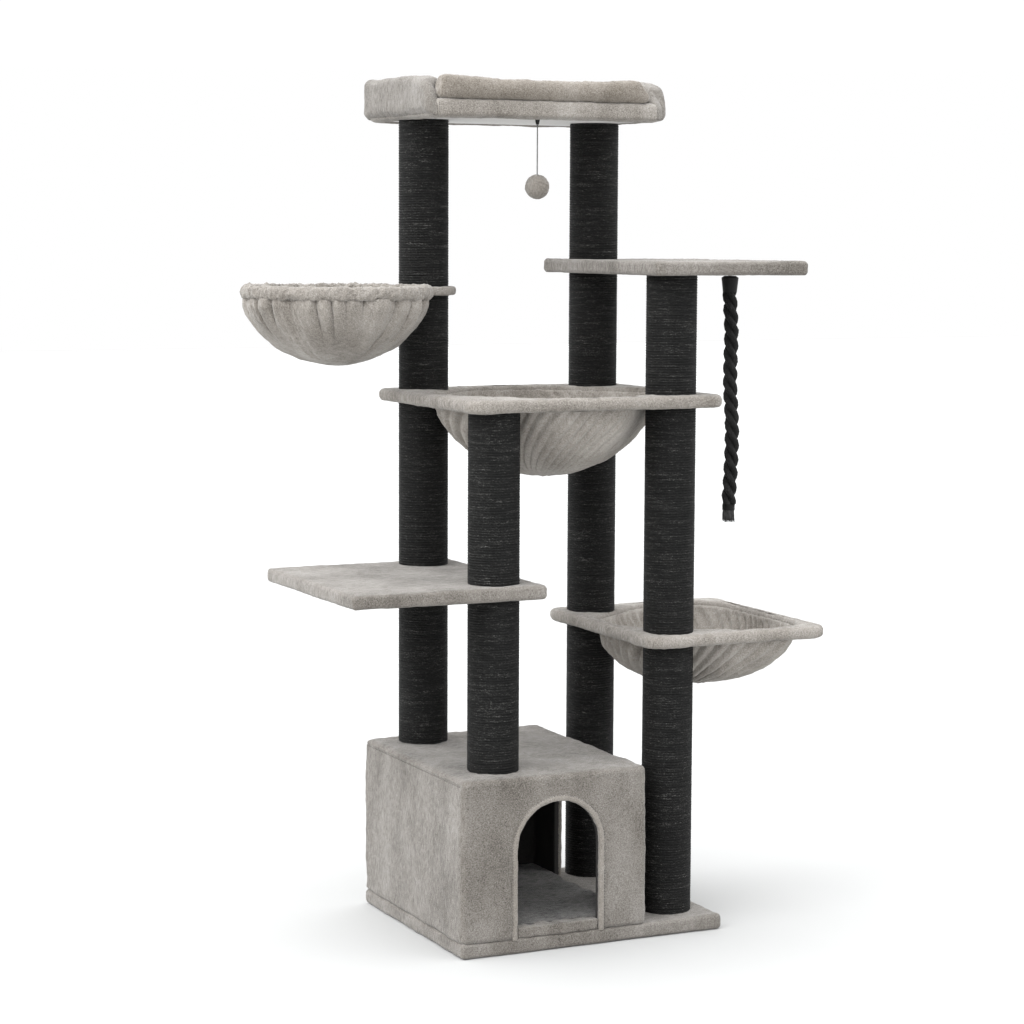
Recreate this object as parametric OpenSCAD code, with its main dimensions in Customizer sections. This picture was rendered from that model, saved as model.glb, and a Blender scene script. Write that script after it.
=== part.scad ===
// Tall cat tree: base with a cat house, four sisal posts, two platforms,
// two square hammocks, a round hanging bowl, a bolstered top bed, a ball toy and a climbing rope.
// Millimetres, +Z up, origin at the centre of the base's bottom face, front towards -Y.

/* [Base] */
// Width of the base plate along X
base_w = 675; // [640:1:720]
// Depth of the base plate along Y
base_d = 580; // [560:1:640]
// Thickness of the covered base plate
base_t = 35; // [30:1:45]
// Thickness of the plush fabric
plush = 3; // [2:0.5:4]

/* [Posts] */
// Outer diameter of a sisal post
post_d = 120; // [100:1:124]
// Thickness of the sisal winding
sisal_t = 6; // [4:1:8]
// Wall of the cardboard tube inside the winding
tube_t = 4; // [3:1:6]
// Thickness of the wooden plug at each tube end
plug_t = 25; // [20:1:40]
// X of the two left posts
left_post_x = -214; // [-216:1:-212]
// X of the two right posts
right_post_x = 242; // [240:1:244]
// Y of the two front posts
front_post_y = -186; // [-190:1:-182]
// Y of the two back posts
back_post_y = 216; // [212:1:220]
// Diameter of the screws that join the posts
bolt_d = 8; // [6:1:10]

/* [Cat house] */
// Width of the house along X
house_w = 472; // [460:1:480]
// Height of the house's top above the floor
house_top = 409; // [400:1:430]
// Thickness of the house's panels
panel_t = 15; // [12:1:18]
// Clear width of the front door
door_w = 208; // [180:1:220]
// Height of the front door's crown above the floor
door_top = 346; // [320:1:350]
// Clear width of the side door
side_door_w = 232; // [200:1:236]
// Height of the side door's crown above the floor
side_door_top = 360; // [330:1:364]
// Width of the binding round each door
binding_w = 14; // [10:1:18]
// Thickness of the mat in the house
mat_t = 25; // [15:1:30]

/* [Platforms] */
// Thickness of a covered platform
platform_t = 33; // [28:1:36]
// Width of the left platform along X
left_w = 478; // [470:1:500]
// Depth of the left platform along Y
left_d = 552; // [540:1:580]
// Underside of the left platform
left_z = 809; // [760:1:860]
// Width of the right platform along X
right_w = 404; // [400:1:440]
// Depth of the right platform along Y
right_d = 597; // [560:1:620]
// Underside of the right platform
right_z = 1542; // [1538:1:1550]

/* [Hammocks] */
// Thickness of a covered hammock frame
frame_t = 28; // [24:1:32]
// Width of a hammock frame's rails
rail_w = 32; // [28:1:36]
// Width of the middle hammock along X
mid_w = 654; // [640:1:670]
// Depth of the middle hammock along Y
mid_d = 570; // [560:1:590]
// Underside of the middle hammock's frame
mid_z = 1236; // [1200:1:1260]
// How far the middle sling hangs below its rim
mid_sag = 184; // [150:1:200]
// Width of the lower hammock along X
low_w = 485; // [470:1:500]
// Depth of the lower hammock along Y
low_d = 560; // [550:1:580]
// Underside of the lower hammock's frame
low_z = 675; // [620:1:700]
// How far the lower sling hangs below its rim
low_sag = 146; // [120:1:160]
// Thickness of a sling's fabric
sling_t = 5; // [4:1:8]

/* [Round bowl] */
// Outer radius of the bowl's padded rim
bowl_r = 221; // [210:1:222]
// Distance from the back left post to the bowl's centre
bowl_reach = 287; // [286:1:300]
// Direction of the bowl, in degrees towards the front from -X
bowl_turn = 22; // [10:1:30]
// Underside of the bowl's tongue
bowl_z = 1490; // [1480:1:1500]
// Thickness of the covered tongue
tongue_t = 20; // [18:1:24]
// Height of the padded rim
rim_h = 31; // [26:1:36]
// How far the bowl hangs below its rim
bowl_sag = 153; // [130:1:170]

/* [Top bed] */
// Width of the bed along X
bed_w = 625; // [610:1:640]
// Depth of the bed along Y
bed_d = 435; // [420:1:450]
// Thickness of the bed's plate with its padding
bed_t = 40; // [36:1:44]
// Underside of the bed
bed_z = 1905; // [1890:1:1920]
// Height of the side bolsters above the plate
bolster_h = 63; // [50:1:70]
// Thickness of the bolsters
bolster_t = 50; // [40:1:56]

/* [Toys] */
// Diameter of the plush ball
ball_d = 60; // [50:1:64]
// Diameter of the ball's string
string_d = 3; // [2.5:0.5:4]
// Diameter of the hanging rope
rope_d = 36; // [32:1:40]

/* [Hidden] */
$fn = 64;

post_r = post_d / 2;
tube_r = post_r - sisal_t;
plug_r = tube_r - tube_t;
bolt_r = bolt_d / 2;
washer_r = 12;
washer_t = 2;
bolt_head_r = 7;
bolt_head_t = 5;
sink_depth = 9;
corner_r = 12;

base_left = -base_w / 2;
base_front = -base_d / 2;
house_left = base_left;
house_right = base_left + house_w;
house_mid_x = (house_left + house_right) / 2;
door_x = house_mid_x + 7;
side_door_y = (front_post_y + back_post_y) / 2 + 28;
wall_in = plush + panel_t;
panel_top = house_top - plush - panel_t;
binding_t = 3.5;

left_x = -353;
left_y = 9;
right_x = 353;
right_y = 14.5;
mid_x = 19;
mid_y = 13;
low_x = 396.5;
low_y = 15;
bed_x = 10.5;
bed_y = 187.5;
bed_board_t = 18;
bed_under_t = 3;
bed_rim = 40;

bowl_x = left_post_x - bowl_reach * cos(bowl_turn);
bowl_y = back_post_y - bowl_reach * sin(bowl_turn);
tongue_w = 156;

// Heights between which each post's sisal lengths stand, from the bottom up.
front_left = [[house_top, left_z], [left_z + platform_t, mid_z]];
back_left = [
    [house_top, left_z], [left_z + platform_t, mid_z],
    [mid_z + frame_t, bowl_z], [bowl_z + tongue_t, bed_z]
];
back_right = [
    [base_t, low_z], [low_z + frame_t, mid_z],
    [mid_z + frame_t, right_z], [right_z + platform_t, bed_z]
];
front_right = [[base_t, low_z], [low_z + frame_t, mid_z], [mid_z + frame_t, right_z]];
POSTS = [
    [left_post_x, front_post_y, front_left],
    [left_post_x, back_post_y, back_left],
    [right_post_x, back_post_y, back_right],
    [right_post_x, front_post_y, front_right]
];

// Corners that a sling keeps away from: direction from the sling's centre, and distance.
post_gap = 4;
function corner_at(x, y, keep) = [atan2(y, x), norm([x, y]) - keep];
mid_corners = [
    for (p = POSTS) corner_at(p[0] - mid_x, p[1] - mid_y, post_r + post_gap)
];
low_corners = [
    corner_at(right_post_x - low_x, back_post_y - low_y, post_r + post_gap),
    corner_at(right_post_x - low_x, front_post_y - low_y, post_r + post_gap),
    corner_at(low_w / 2 - rail_w, low_d / 2 - rail_w, 35),
    corner_at(low_w / 2 - rail_w, rail_w - low_d / 2, 35)
];

// Radius of a hammock's opening in direction t: a rectangle with softly cut corners.
outline_power = 14;
function cut(t, c, grow) = max(0, cos(t - c[0])) / (c[1] + grow);
function opening_r(t, a, b, corners, grow) =
    let (sides = pow(abs(cos(t)) / (a + grow), outline_power)
            + pow(abs(sin(t)) / (b + grow), outline_power),
        cuts = [for (c = corners) pow(cut(t, c, grow), outline_power)])
    pow(sides + cuts * [for (c = corners) 1], -1 / outline_power);
function opening(w, d, corners, grow) = [
    for (t = [0 : 5 : 355])
        let (r = opening_r(t, w / 2 - rail_w, d / 2 - rail_w, corners, grow))
        [r * cos(t), r * sin(t)]
];

// Rope and string routes, from the top down.
rope_x = 514;
rope_y = 14;
rope_pivot_z = right_z - 5.4;
swivel_r = 5;
sleeve_l = 41;
rope_top = 1496;
rope_end = 976;
rope_route = [
    [514, 14, rope_top], [516, 14, 1459], [519, 14, 1422], [520, 14, 1385], [519, 14, 1348],
    [518, 14, 1311], [518, 14, 1274], [520, 14, 1237], [523, 14, 1200], [525, 14, 1163],
    [525, 14, 1126], [524, 14, 1089], [522, 14, 1052], [520, 14, 1014], [518, 14, rope_end]
];
toy_x = 11;
toy_y = 60;
toy_pivot_z = 1890;
knot_r = 2.7;
string_top = toy_pivot_z - 3;
ball_z = 1747;
string_route = [for (z = [string_top : -8 : 1767]) [toy_x, toy_y, z]];

// ---------- shared shapes ----------

// Rectangle with round corners, centred.
module round_rect(w, d, r) {
    square([w - 2 * r, d], center = true);
    square([w, d - 2 * r], center = true);
    for (x = [-1, 1], y = [-1, 1])
        translate([x * (w / 2 - r), y * (d / 2 - r)]) circle(r);
}

module slab(x, y, z, w, d, t, r) {
    translate([x, y, z]) linear_extrude(t) round_rect(w, d, r);
}

// Upright screw hole through whatever lies between z0 and z1.
module bolt_hole(x, y, z0, z1, r = bolt_r) {
    translate([x, y, z0 - 1]) cylinder(r = r, h = z1 - z0 + 2);
}

module covered_board(x, y, z, w, d, t, holes) {
    difference() {
        slab(x, y, z + plush, w - 2 * plush, d - 2 * plush, t - 2 * plush, corner_r - plush);
        for (h = holes) bolt_hole(h[0], h[1], z, z + t);
    }
}

module board_cover(x, y, z, w, d, t, holes) {
    difference() {
        slab(x, y, z, w, d, t, corner_r);
        slab(x, y, z + plush, w - 2 * plush, d - 2 * plush, t - 2 * plush, corner_r - plush);
        for (h = holes) bolt_hole(h[0], h[1], z, z + t);
    }
}

// Door shape, straight sides under a half circle, standing on z0 with its crown at top.
module arch_2d(w, z0, top) {
    r = w / 2;
    translate([-r, z0]) square([w, top - r - z0]);
    translate([0, top - r]) circle(r);
}

module front_arch(w, z0, top, y0, y1) {
    translate([door_x, y1, 0]) rotate([90, 0, 0]) linear_extrude(y1 - y0) arch_2d(w, z0, top);
}

module side_arch(w, z0, top, x0, x1) {
    translate([x0, side_door_y, 0]) rotate([90, 0, 90])
        linear_extrude(x1 - x0) arch_2d(w, z0, top);
}

// One length of sisal winding, a tube open for the cardboard core.
module sisal(x, y, span) {
    color([0.06, 0.06, 0.065]) translate([x, y, span[0]]) difference() {
        cylinder(r = post_r, h = span[1] - span[0]);
        translate([0, 0, -1]) cylinder(r = tube_r, h = span[1] - span[0] + 2);
    }
}

// Closed fabric tube swept along a route, with a ring of vertices at each point.
module cord_tube(route, r, sides) {
    n = len(route);
    points = [
        for (p = route, k = [0 : sides - 1])
            p + [r * cos(360 * k / sides), r * sin(360 * k / sides), 0]
    ];
    walls = [
        for (j = [0 : n - 2], k = [0 : sides - 1])
            let (a = j * sides + k, b = j * sides + (k + 1) % sides)
            [a, b, b + sides, a + sides]
    ];
    top = [for (k = [sides - 1 : -1 : 0]) k];
    bottom = [for (k = [0 : sides - 1]) (n - 1) * sides + k];
    polyhedron(points, concat([top, bottom], walls));
}

// Hanging sling: a closed shell from its rim down to its lowest point.
sling_rings = 10;
sling_sides = 48;
function sling_point(s, j, i, inset) =
    let (t = 360 * i / sling_sides, a = 90 * j / sling_rings,
        r = opening_r(t, s[3] / 2 - rail_w, s[4] / 2 - rail_w, s[6], -1 - inset) * cos(a))
    [s[0] + r * cos(t), s[1] + r * sin(t), s[2] - (s[5] - inset) * pow(sin(a), s[7])];
module sling(s) {
    m = sling_sides;
    skin = sling_rings * m;
    outer = [for (j = [0 : sling_rings - 1], i = [0 : m - 1]) sling_point(s, j, i, 0)];
    inner = [for (j = [0 : sling_rings - 1], i = [0 : m - 1]) sling_point(s, j, i, sling_t)];
    poles = [[s[0], s[1], s[2] - s[5]], [s[0], s[1], s[2] - s[5] + sling_t]];
    walls = [
        for (j = [0 : sling_rings - 2], i = [0 : m - 1])
            let (a = j * m + i, b = j * m + (i + 1) % m) each [
                [a, b, b + m, a + m],
                [skin + a, skin + a + m, skin + b + m, skin + b]
            ]
    ];
    last = (sling_rings - 1) * m;
    ends = [
        for (i = [0 : m - 1]) let (k = (i + 1) % m) each [
            [i, skin + i, skin + k, k],
            [last + i, last + k, 2 * skin],
            [skin + last + k, skin + last + i, 2 * skin + 1]
        ]
    ];
    polyhedron(concat(outer, inner, poles), concat(walls, ends));
}

// Hammock frame: a plate with an opening whose corners carry the posts.
module hammock_plate(x, y, z, w, d, t, corners, inset) {
    translate([x, y, z]) linear_extrude(t) difference() {
        round_rect(w - 2 * inset, d - 2 * inset, 35 - inset);
        polygon(opening(w, d, corners, inset));
    }
}

module hammock_frame(x, y, z, w, d, corners, holes) {
    difference() {
        hammock_plate(x, y, z + plush, w, d, frame_t - 2 * plush, corners, plush);
        for (h = holes) bolt_hole(h[0], h[1], z, z + frame_t);
    }
}

module hammock_wrap(x, y, z, w, d, corners, holes) {
    difference() {
        hammock_plate(x, y, z, w, d, frame_t, corners, 0);
        hammock_plate(x, y, z + plush, w, d, frame_t - 2 * plush, corners, plush);
        for (h = holes) bolt_hole(h[0], h[1], z, z + frame_t);
    }
}

// Bolster: an outline in height and length, extruded through its thickness.
module side_bolster(x0) {
    y0 = bed_y - bed_d / 2 + bolster_t + 4;
    y1 = bed_y + bed_d / 2;
    z0 = bed_z + bed_t;
    z1 = z0 + bolster_h;
    translate([x0, 0, 0]) rotate([90, 0, 90]) linear_extrude(bolster_t) polygon([
        [y0, z0], [y1, z0], [y1, z1 - 14], [y1 - 14, z1], [y0 + 70, z1], [y0 + 45, z1 - 8],
        [y0 + 8, z0 + 16]
    ]);
}

// ---------- base and house ----------

right_posts = [for (p = [POSTS[2], POSTS[3]]) [p[0], p[1]]];
left_posts = [for (p = [POSTS[0], POSTS[1]]) [p[0], p[1]]];

module base_board() {
    color([0.72, 0.6, 0.45]) difference() {
        slab(0, 0, 0, base_w - 2 * plush, base_d - 2 * plush, base_t - plush, corner_r - plush);
        for (p = right_posts) {
            bolt_hole(p[0], p[1], 0, base_t);
            translate([p[0], p[1], -1]) cylinder(r = washer_r + 1, h = sink_depth + 1);
        }
    }
}

module base_cover() {
    color([0.6, 0.58, 0.56]) difference() {
        slab(0, 0, 0, base_w, base_d, base_t, corner_r);
        slab(0, 0, -1, base_w - 2 * plush, base_d - 2 * plush, base_t - plush + 1,
            corner_r - plush);
        for (p = right_posts) bolt_hole(p[0], p[1], 0, base_t);
    }
}

// The house's inner block, which its panels are cut from.
module house_block(z0, z1) {
    slab(house_mid_x, 0, z0, house_w - 2 * plush, base_d - 2 * plush, z1 - z0, corner_r - plush);
}

module house_wall(x0, x1, y0, y1) {
    intersection() {
        house_block(base_t, panel_top);
        translate([x0, y0, base_t]) cube([x1 - x0, y1 - y0, panel_top - base_t]);
    }
}

module house_left_panel() {
    color([0.25, 0.22, 0.2])
        house_wall(house_left + plush, house_left + wall_in, -base_d / 2, base_d / 2);
}

module house_right_panel() {
    color([0.25, 0.22, 0.2]) difference() {
        house_wall(house_right - wall_in, house_right - plush, -base_d / 2, base_d / 2);
        side_arch(side_door_w + 2 * plush, base_t - 1, side_door_top + plush,
            house_right - wall_in - 1, house_right + 1);
    }
}

module house_front_panel() {
    color([0.25, 0.22, 0.2]) difference() {
        house_wall(house_left + wall_in, house_right - wall_in,
            base_front + plush, base_front + wall_in);
        front_arch(door_w + 2 * plush, base_t - 1, door_top + plush,
            base_front - 1, base_front + wall_in + 1);
    }
}

module house_back_panel() {
    color([0.25, 0.22, 0.2])
        house_wall(house_left + wall_in, house_right - wall_in,
            -base_front - wall_in, -base_front - plush);
}

module house_top_panel() {
    color([0.25, 0.22, 0.2]) difference() {
        house_block(panel_top, house_top - plush);
        for (p = left_posts) bolt_hole(p[0], p[1], panel_top, house_top);
    }
}

module house_cover() {
    color([0.6, 0.58, 0.56]) difference() {
        slab(house_mid_x, 0, base_t, house_w, base_d, house_top - base_t, corner_r);
        house_block(base_t - 1, house_top - plush);
        for (p = left_posts) bolt_hole(p[0], p[1], panel_top, house_top);
        front_arch(door_w + 2 * plush, base_t - 1, door_top + plush,
            base_front - 1, base_front + wall_in);
        side_arch(side_door_w + 2 * plush, base_t - 1, side_door_top + plush,
            house_right - wall_in, house_right + 1);
    }
}

// Binding: a flat ring on the face and a lining through the wall, open below.
module front_door_binding() {
    y_face = base_front - binding_t;
    y_in = base_front + wall_in;
    color([0.64, 0.62, 0.6]) difference() {
        union() {
            front_arch(door_w + 2 * binding_w, base_t, door_top + binding_w,
                y_face, base_front);
            front_arch(door_w + 2 * plush, base_t, door_top + plush, base_front - 1, y_in);
        }
        front_arch(door_w, base_t - 1, door_top, y_face - 1, y_in + 1);
    }
}

module side_door_binding() {
    x_face = house_right + binding_t;
    x_in = house_right - wall_in;
    color([0.64, 0.62, 0.6]) difference() {
        union() {
            side_arch(side_door_w + 2 * binding_w, base_t, side_door_top + binding_w,
                house_right, x_face);
            side_arch(side_door_w + 2 * plush, base_t, side_door_top + plush,
                x_in, house_right + 1);
        }
        side_arch(side_door_w, base_t - 1, side_door_top, x_in - 1, x_face + 1);
    }
}

module house_mat() {
    gap = 2;
    color([0.55, 0.53, 0.51]) union() {
        slab(house_mid_x, 0, base_t, house_w - 2 * (wall_in + gap), base_d - 2 * (wall_in + gap),
            mat_t, 8);
        translate([door_x - door_w / 2 + gap, base_front, base_t])
            cube([door_w - 2 * gap, wall_in + 20, mat_t]);
    }
}

// ---------- posts ----------

module front_left_sisal(i) { sisal(left_post_x, front_post_y, front_left[i]); }
module back_left_sisal(i) { sisal(left_post_x, back_post_y, back_left[i]); }
module back_right_sisal(i) { sisal(right_post_x, back_post_y, back_right[i]); }
module front_right_sisal(i) { sisal(right_post_x, front_post_y, front_right[i]); }

module post_tubes() {
    color([0.7, 0.62, 0.5]) for (p = POSTS, s = p[2])
        translate([p[0], p[1], s[0]]) difference() {
            cylinder(r = tube_r, h = s[1] - s[0]);
            translate([0, 0, -1]) cylinder(r = plug_r, h = s[1] - s[0] + 2);
        }
}

module post_plugs() {
    color([0.75, 0.63, 0.45]) for (p = POSTS, s = p[2], z = [s[0], s[1] - plug_t])
        translate([p[0], p[1], z]) difference() {
            cylinder(r = plug_r, h = plug_t);
            translate([0, 0, -1]) cylinder(r = bolt_r, h = plug_t + 2);
        }
}

// Threaded studs across every board that a post stands on and carries on above.
module joining_studs() {
    color([0.7, 0.7, 0.72]) for (p = POSTS) {
        spans = p[2];
        for (i = [1 : len(spans) - 1])
            translate([p[0], p[1], spans[i - 1][1] - plug_t])
                cylinder(r = bolt_r, h = spans[i][0] - spans[i - 1][1] + 2 * plug_t);
        last = spans[len(spans) - 1][1];
        board = last == bed_z ? bed_under_t + bed_board_t : last == mid_z ? frame_t - plush
            : platform_t - plush;
        translate([p[0], p[1], last - plug_t]) cylinder(r = bolt_r, h = board + plug_t);
    }
}

module bolt_and_washer(x, y, z, length) {
    translate([x, y, z]) {
        cylinder(r = bolt_head_r, h = bolt_head_t);
        translate([0, 0, bolt_head_t]) difference() {
            cylinder(r = washer_r, h = washer_t);
            translate([0, 0, -1]) cylinder(r = bolt_r, h = washer_t + 2);
        }
        translate([0, 0, bolt_head_t]) cylinder(r = bolt_r, h = length);
    }
}

module post_bolts() {
    head = bolt_head_t + washer_t;
    color([0.7, 0.7, 0.72]) {
        for (p = right_posts)
            bolt_and_washer(p[0], p[1], sink_depth - head,
                base_t + plug_t - sink_depth + washer_t);
        for (p = left_posts)
            bolt_and_washer(p[0], p[1], panel_top - head, panel_t + plush + plug_t + washer_t);
    }
}

// ---------- platforms ----------

module left_platform_board() {
    color([0.72, 0.6, 0.45])
        covered_board(left_x, left_y, left_z, left_w, left_d, platform_t, left_posts);
}

module left_platform_cover() {
    color([0.6, 0.58, 0.56])
        board_cover(left_x, left_y, left_z, left_w, left_d, platform_t, left_posts);
}

module right_platform_board() {
    color([0.72, 0.6, 0.45])
        covered_board(right_x, right_y, right_z, right_w, right_d, platform_t, right_posts);
}

module right_platform_cover() {
    color([0.6, 0.58, 0.56])
        board_cover(right_x, right_y, right_z, right_w, right_d, platform_t, right_posts);
}

// ---------- hammocks ----------

all_posts = [for (p = POSTS) [p[0], p[1]]];

module middle_hammock_frame() {
    color([0.72, 0.6, 0.45])
        hammock_frame(mid_x, mid_y, mid_z, mid_w, mid_d, mid_corners, all_posts);
}

module middle_hammock_wrap() {
    color([0.6, 0.58, 0.56])
        hammock_wrap(mid_x, mid_y, mid_z, mid_w, mid_d, mid_corners, all_posts);
}

module middle_hammock_sling() {
    color([0.64, 0.62, 0.6])
        sling([mid_x, mid_y, mid_z + frame_t / 2, mid_w, mid_d, mid_sag, mid_corners, 1.25]);
}

module lower_hammock_frame() {
    color([0.72, 0.6, 0.45])
        hammock_frame(low_x, low_y, low_z, low_w, low_d, low_corners, right_posts);
}

module lower_hammock_wrap() {
    color([0.6, 0.58, 0.56])
        hammock_wrap(low_x, low_y, low_z, low_w, low_d, low_corners, right_posts);
}

module lower_hammock_sling() {
    color([0.64, 0.62, 0.6])
        sling([low_x, low_y, low_z + frame_t / 2, low_w, low_d, low_sag, low_corners, 1]);
}

// ---------- round bowl ----------

tongue_board_t = tongue_t - 2 * plush;
rim_in = bowl_r - 29;
ring_out = bowl_r - 7;
ring_in = rim_in + 5;
rim_z = bowl_z + tongue_t / 2 - rim_h / 2;

// Tongue from the bowl's centre to a round end under the post, as a flat outline.
module tongue_2d(w) {
    translate([left_post_x, back_post_y]) rotate(180 + bowl_turn) polygon(concat(
        [[bowl_reach, -w / 2], [bowl_reach, w / 2]],
        [for (a = [90:7.5:270]) w / 2 * [cos(a), sin(a)]]
    ));
}

// Ring and tongue, cut from one board.
module bowl_plate(z, t) {
    translate([0, 0, z]) linear_extrude(t) difference() {
        union() {
            tongue_2d(tongue_w - 2 * plush);
            translate([bowl_x, bowl_y]) circle(ring_out);
        }
        translate([bowl_x, bowl_y]) circle(ring_in);
    }
}

module bowl_frame() {
    color([0.72, 0.6, 0.45]) difference() {
        bowl_plate(bowl_z + plush, tongue_board_t);
        bolt_hole(left_post_x, back_post_y, bowl_z, bowl_z + tongue_t);
    }
}

module bowl_tongue_cover() {
    color([0.6, 0.58, 0.56]) difference() {
        translate([0, 0, bowl_z]) linear_extrude(tongue_t) tongue_2d(tongue_w);
        translate([0, 0, bowl_z + plush]) linear_extrude(tongue_board_t)
            tongue_2d(tongue_w - 2 * plush);
        translate([bowl_x, bowl_y, bowl_z - 1]) cylinder(r = bowl_r, h = tongue_t + 2);
        bolt_hole(left_post_x, back_post_y, bowl_z, bowl_z + tongue_t);
    }
}

module bowl_rim() {
    color([0.64, 0.62, 0.6]) difference() {
        translate([bowl_x, bowl_y, rim_z]) rotate_extrude() polygon([
            [rim_in, 6], [rim_in + 6, 0], [bowl_r - 6, 0], [bowl_r, 6],
            [bowl_r, rim_h - 6], [bowl_r - 6, rim_h], [rim_in + 6, rim_h], [rim_in, rim_h - 6]
        ]);
        bowl_plate(bowl_z + plush, tongue_board_t);
    }
}

// Half profile of the bowl, from its hem to its lowest point.
bowl_steps = 12;
bowl_top_r = bowl_r - 12;
function bowl_profile(inset) = [
    for (k = [0 : bowl_steps])
        let (a = 90 * k / bowl_steps)
        [(bowl_top_r - inset) * cos(a), -(bowl_sag - inset) * pow(sin(a), 1.2)]
];

module bowl_sling() {
    outer = bowl_profile(0);
    inner = [for (k = [bowl_steps : -1 : 0]) bowl_profile(sling_t)[k]];
    color([0.64, 0.62, 0.6])
        translate([bowl_x, bowl_y, rim_z]) rotate_extrude() polygon(concat(outer, inner));
}

// ---------- top bed ----------

back_posts = [for (p = [POSTS[1], POSTS[2]]) [p[0], p[1]]];

module bed_board() {
    color([0.72, 0.6, 0.45]) difference() {
        slab(bed_x, bed_y, bed_z + bed_under_t, bed_w - 2 * plush, bed_d - 2 * plush,
            bed_board_t, corner_r - plush);
        for (p = back_posts) bolt_hole(p[0], p[1], bed_z, bed_z + bed_t);
    }
}

module bed_padding() {
    z0 = bed_z + bed_under_t + bed_board_t;
    color([0.85, 0.82, 0.7])
        slab(bed_x, bed_y, z0, bed_w - 2 * plush, bed_d - 2 * plush,
            bed_z + bed_t - plush - z0, corner_r - plush);
}

module bed_cover() {
    color([0.6, 0.58, 0.56]) difference() {
        slab(bed_x, bed_y, bed_z, bed_w, bed_d, bed_t, corner_r);
        slab(bed_x, bed_y, bed_z + bed_under_t, bed_w - 2 * plush, bed_d - 2 * plush,
            bed_t - plush - bed_under_t, corner_r - plush);
        slab(bed_x, bed_y, bed_z - 1, bed_w - 2 * bed_rim, bed_d - 2 * bed_rim,
            bed_under_t + 2, corner_r);
    }
}

module bed_underside() {
    color([0.88, 0.87, 0.85]) difference() {
        slab(bed_x, bed_y, bed_z, bed_w - 2 * bed_rim, bed_d - 2 * bed_rim,
            bed_under_t, corner_r);
        for (p = back_posts) bolt_hole(p[0], p[1], bed_z, bed_z + bed_under_t);
    }
}

module bed_left_bolster() {
    color([0.62, 0.6, 0.58]) side_bolster(bed_x - bed_w / 2);
}

module bed_right_bolster() {
    color([0.62, 0.6, 0.58]) side_bolster(bed_x + bed_w / 2 - bolster_t);
}

// The front bolster's top edge dips towards its middle.
module bed_front_bolster() {
    x0 = bed_x - bed_w / 2 + 14;
    x1 = bed_x + bed_w / 2 - 24;
    z0 = bed_z + bed_t;
    h = bolster_h - 5;
    dip = 15;
    top = [
        for (u = [1 : -0.125 : 0])
            [x0 + 6 + (x1 - x0 - 16) * u, z0 + h - dip * (1 - pow(2 * u - 1, 2))]
    ];
    color([0.62, 0.6, 0.58]) translate([0, bed_y - bed_d / 2 + 2 + bolster_t, 0])
        rotate([90, 0, 0]) linear_extrude(bolster_t)
        polygon(concat([[x0, z0], [x1, z0], [x1, z0 + 14]], top, [[x0, z0 + 40]]));
}

module bed_back_bolster() {
    x0 = bed_x - bed_w / 2 + bolster_t + 2;
    color([0.62, 0.6, 0.58])
        translate([x0, bed_y + bed_d / 2 - bolster_t, bed_z + bed_t])
        cube([bed_w - 2 * bolster_t - 4, bolster_t, bolster_h - 4]);
}

// ---------- ball toy ----------

module toy_anchor() {
    color([0.05, 0.05, 0.05]) translate([toy_x, toy_y, toy_pivot_z + 3])
        cylinder(r1 = 3.5, r2 = 6, h = bed_z - toy_pivot_z - 3);
}

module toy_knot() {
    color([0.3, 0.3, 0.3]) translate([toy_x, toy_y, toy_pivot_z]) sphere(r = knot_r);
}

module toy_string() {
    color([0.5, 0.5, 0.5]) cord_tube(string_route, string_d / 2, 8);
}

module toy_ball() {
    color([0.55, 0.53, 0.51]) translate([toy_x, toy_y, ball_z]) sphere(r = ball_d / 2);
}

// ---------- hanging rope ----------

module rope_swivel() {
    color([0.2, 0.2, 0.2]) translate([rope_x, rope_y, rope_pivot_z]) sphere(r = swivel_r);
}

// Sleeve with a round pocket at its top, so it can tip about the swivel.
module rope_sleeve() {
    color([0.05, 0.05, 0.05]) difference() {
        translate([rope_x, rope_y, rope_top]) {
            cylinder(r1 = 17, r2 = 21, h = sleeve_l - 5);
            translate([0, 0, sleeve_l - 5]) cylinder(r1 = 21, r2 = 14, h = 4.4);
        }
        translate([rope_x, rope_y, rope_pivot_z]) sphere(r = swivel_r + 0.3);
    }
}

module rope() {
    color([0.05, 0.05, 0.05]) cord_tube(rope_route, rope_d / 2, 12);
}

module rope_binding() {
    color([0.08, 0.08, 0.08]) translate([518, rope_y, rope_end - 14])
        cylinder(r = 16, h = 14);
}

module rope_frayed_end() {
    color([0.3, 0.3, 0.3]) translate([518, rope_y, rope_end - 14 - 31])
        cylinder(r1 = 17, r2 = 15, h = 31);
}

base_board();
base_cover();
house_front_panel();
house_left_panel();
house_back_panel();
house_right_panel();
house_top_panel();
house_cover();
front_door_binding();
side_door_binding();
house_mat();
front_left_sisal(0);  // front_left_sisal_1
front_left_sisal(1);  // front_left_sisal_2
back_left_sisal(0);  // back_left_sisal_1
back_left_sisal(1);  // back_left_sisal_2
back_left_sisal(2);  // back_left_sisal_3
back_left_sisal(3);  // back_left_sisal_4
back_right_sisal(0);  // back_right_sisal_1
back_right_sisal(1);  // back_right_sisal_2
back_right_sisal(2);  // back_right_sisal_3
back_right_sisal(3);  // back_right_sisal_4
front_right_sisal(0);  // front_right_sisal_1
front_right_sisal(1);  // front_right_sisal_2
front_right_sisal(2);  // front_right_sisal_3
post_tubes();
post_plugs();
joining_studs();
post_bolts();
left_platform_board();
left_platform_cover();
right_platform_board();
right_platform_cover();
middle_hammock_frame();
middle_hammock_wrap();
middle_hammock_sling();
lower_hammock_frame();
lower_hammock_wrap();
lower_hammock_sling();
bowl_frame();
bowl_tongue_cover();
bowl_rim();
bowl_sling();
bed_board();
bed_padding();
bed_cover();
bed_underside();
bed_left_bolster();
bed_right_bolster();
bed_front_bolster();
bed_back_bolster();
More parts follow.
